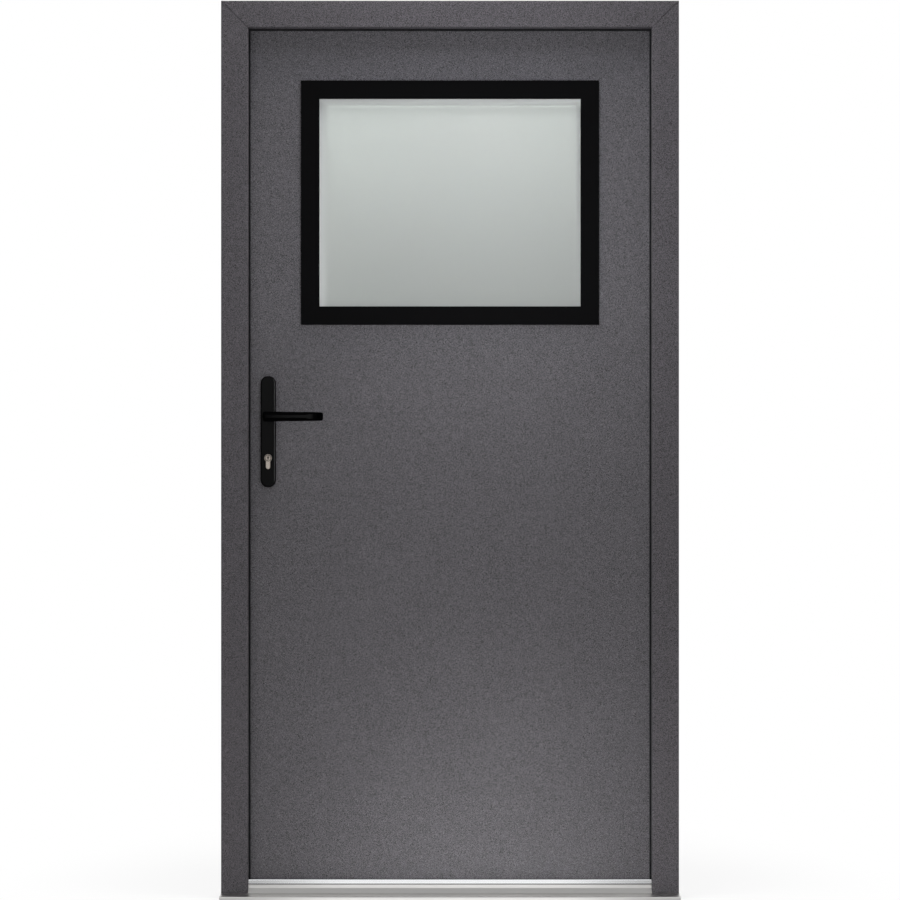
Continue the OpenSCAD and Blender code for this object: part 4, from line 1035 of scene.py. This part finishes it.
key_body = key_bar("key_cylinder", *KEY_ENDS, 0.0, KEY_CHAMFER, finishes["satin_nickel"])
bore = turned(
    "bore", [(BORE_R, -BORE_REACH), (BORE_R, BORE_REACH)], (AXIS_X, MID_Y, KEY_Z), INWARD
)
cam_room = box_object(
    "cam_room",
    (AXIS_X - CAM_CLEAR, MID_Y - CAM_HALF, KEY_Z - CAM_DOWN),
    (AXIS_X + CAM_CLEAR, MID_Y + CAM_HALF, KEY_Z + CAM_CLEAR),
)
flare = [(PLUG_R, -RIM), (PLUG_R + RIM + RIM_OVER, RIM_OVER)]
rims = [
    turned("rim", flare, (AXIS_X, mirrored_y(KEY_ENDS[0], inside), KEY_Z), outward(inside))
    for side, inside in SIDES
]
combine(key_body, "DIFFERENCE", bore, cam_room, *rims)
smooth_faces(key_body, METAL_CREASE)
stands_for(key_body, "leaf", "cylinder_body")
print(key_body.name, len(key_body.data.polygons), "faces")

# %% Plugs with their keyways
DISH_R, DISH_FOOT_R, DISH_DEEP = 4.9, 4.6, 0.25
KEYWAY_HALF, KEYWAY_DOWN, KEYWAY_UP = 1.2, 3.4, 4.2
KEYWAY_DEEP, KEYWAY_OVER = 26.0, 1.0
ENTRY_R, ENTRY_FLARE_R, ENTRY_FLARE, ENTRY_OVER, ENTRY_UP = 1.9, 2.6, 0.6, 0.1, 1.2


def plug(name, inside):
    end = mirrored_y(PLUG_END, inside)
    profile = [(PLUG_R, PLUG_END - PLUG_INNER_END), (PLUG_R, -RIM), (PLUG_R - RIM, 0.0),
               (DISH_R, 0.0), (DISH_FOOT_R, -DISH_DEEP)]
    nickel = finishes["satin_nickel"]
    drum = turned(name, profile, (AXIS_X, end, KEY_Z), outward(inside), nickel)
    y0, y1 = sorted(
        mirrored_y(y, inside) for y in (PLUG_END - KEYWAY_OVER, PLUG_END + KEYWAY_DEEP)
    )
    keyway = box_object(
        "keyway",
        (AXIS_X - KEYWAY_HALF, y0, KEY_Z - KEYWAY_DOWN),
        (AXIS_X + KEYWAY_HALF, y1, KEY_Z + KEYWAY_UP),
    )
    flare = [(ENTRY_R, -KEYWAY_DEEP), (ENTRY_R, -ENTRY_FLARE), (ENTRY_FLARE_R, ENTRY_OVER)]
    entry = turned("entry", flare, (AXIS_X, end, KEY_Z + ENTRY_UP), outward(inside), sides=40)
    combine(drum, "DIFFERENCE", keyway, entry)
    return smooth_faces(drum, METAL_CREASE)


for side, inside in SIDES:
    drum = plug("plug_" + side, inside)
    stands_for(drum, "key_plug", "cylinder_plug_" + side)
    print(drum.name, len(drum.data.polygons), "faces")

# %% [markdown]
# ## Mitred corners of the frame
# Head and jambs are sawn at 45 degrees and pushed together. The saw leaves a fine burr that is
# broken with a file, so a narrow groove shows along each joint. Merged copies of the CAD pieces are
# cut with a three-sided bar laid along the joint, on the outer and on the inner face. Two hollow
# bars take the sharp front edges off, as the die of a drawn profile leaves them round.

# %% Cutters for grooves and edges
(jamb_left, FRAME_FRONT, _), (CORNER_X, FRAME_BACK, _) = box_mm("frame_jamb_hinge")
CORNER_Z = box_mm("frame_head")[1][2]
FRONT_W, BACK_W = CORNER_X - jamb_left, 45.0
MITRES = ((FRONT_W, FRAME_FRONT, -1.0), (BACK_W, FRAME_BACK, 1.0))
GROOVE_HALF, GROOVE_DEEP, GROOVE_OVER, GROOVE_RUN_OUT = 0.8, 1.6, 0.5, 2.0
EDGE_R, EDGE_STEPS, EDGE_SLACK = 2.5, 5, 0.5


def groove(side, width, face_y, out):
    """Three-sided bar along one mitre."""
    wide = GROOVE_HALF * (1.0 + GROOVE_OVER / GROOVE_DEEP) / math.sqrt(2.0)
    section = ((-wide, out * GROOVE_OVER), (wide, out * GROOVE_OVER), (0.0, -out * GROOVE_DEEP))
    return stacked("groove", [
        scaled([
            (side * (CORNER_X - run + off), face_y + y, CORNER_Z - run - off) for off, y in section
        ])
        for run in (width + GROOVE_RUN_OUT, -GROOVE_RUN_OUT)
    ])


edge_turns = [math.pi / 2.0 * k / EDGE_STEPS for k in range(EDGE_STEPS + 1)]
EDGE_CUT = [
    (-EDGE_SLACK, -EDGE_SLACK),
    (EDGE_R, -EDGE_SLACK),
    *((EDGE_R * (1.0 - math.sin(a)), EDGE_R * (1.0 - math.cos(a))) for a in edge_turns),
    (-EDGE_SLACK, EDGE_R),
]


def edge_round(side):
    """Two cutters that round the front edges of a jamb (side -1 or 1) or of the head (0)."""
    bars = []
    for edge, way in ((FRONT_W, 1.0), (0.0, -1.0)):
        if side:
            rings = [
                [(side * (CORNER_X - edge + way * a), b, z) for a, b in EDGE_CUT]
                for z in (0.0, CORNER_Z + OVERRUN)
            ]
        else:
            rings = [
                [(x, b, CORNER_Z - edge + way * a) for a, b in EDGE_CUT]
                for x in (-CORNER_X - OVERRUN, CORNER_X + OVERRUN)
            ]
        bars.append(stacked("edge_round", [scaled(ring) for ring in rings]))
    return bars


print("mitres", FRONT_W, "mm wide in front and", BACK_W, "mm behind, edges of radius", EDGE_R)

# %% Head and jambs with grooves and round edges
MERGE = 1e-6
FRAME_BARS = {"frame_head": (-1, 1), "frame_jamb_lock": (-1,), "frame_jamb_hinge": (1,)}


def merged_copy(name, node):
    """A copy of a CAD piece whose triangles are joined, fit for cutting."""
    bm = bmesh.new()
    bm.from_mesh(nodes[node].data)
    bmesh.ops.remove_doubles(bm, verts=bm.verts, dist=MERGE)
    return mesh_object(name, bm, nodes[node].material_slots[0].material)


for node, sides in FRAME_BARS.items():
    bar = merged_copy(node + "_mitred", node)
    cuts = [groove(side, *mitre) for side in sides for mitre in MITRES]
    combine(bar, "DIFFERENCE", *cuts, *edge_round(sum(sides)))
    smooth_faces(bar, METAL_CREASE)
    stands_for(bar, "frame", node)
    print(bar.name, len(bar.data.polygons), "faces")

# %% [markdown]
# ## Hinges
# Three butt hinges carry the leaf on the inside. Each half is a plate with round outer corners and
# a knuckle that is rolled round the pin; the web between them is the bend of the sheet. The halves
# are joined from these shapes, then the pin's bore and the countersunk holes are cut.

# %% Sizes of the hinges
UPWARD = (0.0, 0.0, 1.0)
HINGE_X, HINGE_Y = joint_place("leaf_swing")[:2]
hinge_boxes = {place: box_mm("hinge_frame_" + place) for place in ("low", "mid", "top")}
HINGE_Z = {place: span(low[2], high[2])[0] for place, (low, high) in hinge_boxes.items()}
HINGE_HALF_H = span(hinge_boxes["low"][0][2], hinge_boxes["low"][1][2])[1]
KNUCKLE_R, KNUCKLE_END, KNUCKLE_STEPS = 9.0, 1.6, 5
GAP_BELOW, GAP_ABOVE = 0.5, 0.6
KNUCKLE_SPAN = {1.0: (-HINGE_HALF_H, -GAP_BELOW), -1.0: (GAP_ABOVE, HINGE_HALF_H)}
FLAP_NEAR, FLAP_FAR, FLAP_R = 6.42, 38.42, 7.0
FLAP_SEAT, FLAP_FACE, FLAP_ROUND, FLAP_BEVEL = LEAF_BACK, 83.0, 0.8, 0.25
FLAP_EDGE = (
    (0.0, FLAP_SEAT), (0.0, FLAP_FACE - FLAP_ROUND), (FLAP_BEVEL, FLAP_FACE - FLAP_BEVEL),
    (FLAP_ROUND, FLAP_FACE),
)
WEB_R, WEB_FAR = 8.1, 12.42
WEB = ((0.0, HINGE_Y - WEB_R), (WEB_FAR, FLAP_SEAT), (WEB_FAR, FLAP_FACE), (WEB_R, HINGE_Y))
PIN_BORE, HINGE_CAP = 4.1, 6.0
HINGE_SCREW_X, HINGE_SCREW_DZ, HINGE_HOLE_DEEP = 25.62, (-39.6, 0.0, 39.6), 10.0
print("hinges on the axis", HINGE_X, HINGE_Y, "at heights", list(HINGE_Z.values()))


# %% Hinge halves
def hinge_screw_places(mid_z, side):
    return [(HINGE_X + side * HINGE_SCREW_X, FLAP_FACE, mid_z + dz) for dz in HINGE_SCREW_DZ]


def hinge_flap(name, mid_z, side):
    """The plate of one half, with its front edge rounded over."""
    layers = []
    for inset, y in FLAP_EDGE:
        half_h, round_r = HINGE_HALF_H - inset, FLAP_R - inset
        near, far = FLAP_NEAR + inset, FLAP_FAR - inset
        outer_corners = [(far, -half_h, round_r), (far, half_h, round_r)]
        ring = rounded([(near, -half_h, 0.0), *outer_corners, (near, half_h, 0.0)])
        layers.append(scaled([(HINGE_X + side * x, y, mid_z + z) for x, z in ring]))
    return stacked(name, layers, finishes["coated_hinge"])


def hinge_half(name, mid_z, side):
    """One half of a hinge: side 1 on the jamb, with the lower knuckle, or -1 on the leaf."""
    half = hinge_flap(name, mid_z, side)
    low, high = KNUCKLE_SPAN[side]
    quarter = [math.pi / 2.0 * k / KNUCKLE_STEPS for k in range(KNUCKLE_STEPS + 1)]
    profile = [
        (KNUCKLE_R - KNUCKLE_END * (1.0 - math.sin(t)), low + KNUCKLE_END * (1.0 - math.cos(t)))
        for t in quarter
    ]
    profile += [(r, low + high - z) for r, z in reversed(profile)]
    place = (HINGE_X, HINGE_Y, mid_z)
    knuckle = turned("knuckle", profile, place, UPWARD, sides=48)
    web = stacked("web", [
        scaled([(HINGE_X + side * x, y, mid_z + z) for x, y in WEB])
        for z in (low + KNUCKLE_END, high - KNUCKLE_END)
    ])
    combine(half, "UNION", knuckle, web)
    reach = (low + HINGE_CAP, high + OVERRUN) if side > 0 else (low - OVERRUN, high - HINGE_CAP)
    bore = turned("bore", [(PIN_BORE, z) for z in reach], place, UPWARD, sides=48)
    places = hinge_screw_places(mid_z, side)
    sinks = [sunk_hole(p, INWARD, BIG_SCREW, HINGE_HOLE_DEEP) for p in places]
    combine(half, "DIFFERENCE", bore, *sinks)
    return smooth_faces(half, METAL_CREASE)


for place, mid_z in HINGE_Z.items():
    for body, side in (("frame", 1.0), ("leaf", -1.0)):
        half = hinge_half("hinge_" + body + "_half_" + place, mid_z, side)
        stands_for(half, body, "hinge_" + body + "_" + place)
print("hinge halves", len(half.data.polygons), "faces each")

# %% [markdown]
# ## Screws
# Every visible screw is the same countersunk kind with a cross recess; only sizes differ. One
# Geometry Nodes tree makes the screw from its sizes, puts one on each given point, turns it to face
# out of the wood and spins it by chance, since no fitter lines the crosses up.

# %% A tree that takes a screw's sizes
SIZE_LABELS = ("Head Radius", "Head Height", "Shank Radius", "Length")
INPUT_KINDS = {
    "Geometry": "Geometry", **dict.fromkeys(SIZE_LABELS, "Float"),
    "Facing": "Vector", "Seed": "Int", "Finish": "Material",
}
screw_group = bpy.data.node_groups.new("countersunk_screws", "GeometryNodeTree")
for label, kind in INPUT_KINDS.items():
    screw_group.interface.new_socket(label, in_out="INPUT", socket_type="NodeSocket" + kind)
screw_group.interface.new_socket("Geometry", in_out="OUTPUT", socket_type="NodeSocketGeometry")
screw_tree = Tree(screw_group)


def given(label):
    """A value that each use of the tree sets."""
    return screw_tree.add("NodeGroupInput", out=label)


head_r, head_h, shank_r, length = (given(label) for label in SIZE_LABELS)
print("screw tree takes", list(INPUT_KINDS))

# %% The screw and its cross recess
SCREW_SIDES = 24
LID_SHARE, TOP_SHARE, POINT_SHARE = 0.12, 0.7, 0.7
CROSS_ARMS, CROSS_WAIST_SHARE, CROSS_ARM_SHARE, CROSS_DEEP_SHARE = 4, 0.17, 0.60, 0.45


def rise(height):
    """A vector along the screw."""
    return screw_tree.add("CombineXYZ", None, {"Z": height})


def lifted(part, height):
    """The part moved along the screw."""
    lift = {"Geometry": part, "Translation": rise(height)}
    return screw_tree.add("GeometryNodeTransform", None, lift)


def cone(low_r, high_r, depth):
    """The open side of a cone."""
    return screw_tree.add("GeometryNodeMeshCone", {"fill_type": "NONE"}, {
        "Vertices": SCREW_SIDES, "Radius Bottom": low_r, "Radius Top": high_r, "Depth": depth,
    })


def disc(radius):
    circle = {"Vertices": SCREW_SIDES, "Radius": radius}
    return screw_tree.add("GeometryNodeMeshCircle", {"fill_type": "NGON"}, circle)


lid, top_r, point_r = LID_SHARE * head_h, TOP_SHARE * head_r, POINT_SHARE * shank_r
point = screw_tree.add("GeometryNodeFlipFaces", None, {"Mesh": disc(point_r)})
skin = [
    lifted(point, -1.0 * length),
    lifted(cone(point_r, shank_r, length - head_h), -1.0 * length),
    lifted(cone(shank_r, head_r, head_h), -1.0 * head_h),
    cone(head_r, top_r, lid),
    lifted(disc(top_r), lid),
]
joined = screw_tree.add("GeometryNodeJoinGeometry", None, {"Geometry": skin})
solid = screw_tree.add(
    "GeometryNodeMergeByDistance", None, {"Geometry": joined, "Distance": WELD}
)
cross = screw_tree.add("GeometryNodeCurveStar", None, {
    "Points": CROSS_ARMS,
    "Inner Radius": head_r * CROSS_WAIST_SHARE,
    "Outer Radius": head_r * CROSS_ARM_SHARE,
}, out="Curve")
depth_line = screw_tree.add("GeometryNodeCurvePrimitiveLine", None, {
    "Start": rise(head_h * -CROSS_DEEP_SHARE), "End": rise(head_h * CROSS_DEEP_SHARE),
})
recess = screw_tree.add("GeometryNodeCurveToMesh", None, {
    "Curve": depth_line, "Profile Curve": cross, "Fill Caps": True,
})
screw = screw_tree.add(
    "GeometryNodeMeshBoolean",
    {"operation": "DIFFERENCE", "solver": "EXACT"},
    {"Mesh 1": solid, "Mesh 2": recess},
)
print("screw made by", len(screw_group.nodes), "nodes")

# %% One screw on each point
aligned = screw_tree.add(
    "FunctionNodeAlignRotationToVector", {"axis": "Z"}, {"Vector": given("Facing")}
)
chance = screw_tree.add(
    "FunctionNodeRandomValue",
    {"data_type": "FLOAT"},
    {"Min": 0.0, "Max": math.pi, "Seed": given("Seed")},
)
spin = screw_tree.add(
    "FunctionNodeAxisAngleToRotation", None, {"Axis": UPWARD, "Angle": chance}
)
turned_out = screw_tree.add(
    "FunctionNodeRotateRotation",
    {"rotation_space": "LOCAL"},
    {"Rotation": aligned, "Rotate By": spin},
)
placed = screw_tree.add("GeometryNodeInstanceOnPoints", None, {
    "Points": given("Geometry"), "Instance": screw, "Rotation": turned_out,
})
plain = screw_tree.add("GeometryNodeRealizeInstances", None, {"Geometry": placed})
coloured = screw_tree.add(
    "GeometryNodeSetMaterial", None, {"Geometry": plain, "Material": given("Finish")}
)
screw_tree.add("NodeGroupOutput", None, {"Geometry": coloured})
print("screw tree with", len(screw_group.nodes), "nodes")


# %% Screws on their points
def screws(name, body, replaced, places, facing, screw, seed):
    """Screws with one head (radius, height, shank radius), as long as the CAD ones, on a body."""
    bm = bmesh.new()
    for place in places:
        bm.verts.new(at(*place))
    obj = mesh_object(name, bm)
    step = obj.modifiers.new("screws", "NODES")
    step.node_group = screw_group
    length = sum(abs(way) * (high - low) for way, low, high in zip(facing, *box_mm(replaced)))
    values = dict(zip(SIZE_LABELS, at(*screw, length)))
    values.update({"Facing": facing, "Seed": seed, "Finish": finishes[slot_of[replaced]]})
    for socket in screw_group.interface.items_tree:
        if socket.name in values:
            step[socket.identifier] = values[socket.name]
    smooth_faces(welded(settle(obj)), METAL_CREASE)
    stands_for(obj, body, replaced)
    print(name, len(places), "screws,", len(obj.data.polygons), "faces")


def above_and_below(x, mid_z, dz):
    """Two places on the lock's edge."""
    return [(x, MID_Y, mid_z - dz), (x, MID_Y, mid_z + dz)]


TO_JAMB, TO_LEAF = (-1.0, 0.0, 0.0), (1.0, 0.0, 0.0)
(EDGE_X, _, forend_foot), (_, _, forend_top) = box_mm("lock_forend")
LOCK_Z = span(forend_foot, forend_top)[0]
JAMB_X = box_mm("strike_plate")[1][0]
FOREND_DZ, STRIKE_DZ, CYLINDER_SCREW_Z = 110.0, 98.0, 960.95
forend_places = above_and_below(EDGE_X, LOCK_Z, FOREND_DZ)
strike_places = above_and_below(JAMB_X, LOCK_Z, STRIKE_DZ)
cylinder_places = [(EDGE_X, MID_Y, CYLINDER_SCREW_Z)]
for body, side, seed in (("frame", 1.0, 3), ("leaf", -1.0, 5)):
    places = [place for mid_z in HINGE_Z.values() for place in hinge_screw_places(mid_z, side)]
    replaced = "hinge_" + body + "_screws"
    screws("screws_hinge_" + body, body, replaced, places, INWARD, BIG_SCREW, seed)
screws("bolts_handle", "leaf", "handle_bolts", BOLT_PLACES, INWARD, BIG_SCREW, 7)
screws("screws_trim", "leaf", "window_trim_screws", TRIM_PLACES, INWARD, TRIM_SCREW, 9)
screws("screws_forend", "leaf", "lock_forend_screws", forend_places, TO_JAMB, BIG_SCREW, 11)
screws("screw_cylinder", "leaf", "cylinder_screw", cylinder_places, TO_JAMB, BIG_SCREW, 13)
screws("screws_strike", "frame", "strike_screws", strike_places, TO_LEAF, BIG_SCREW, 15)
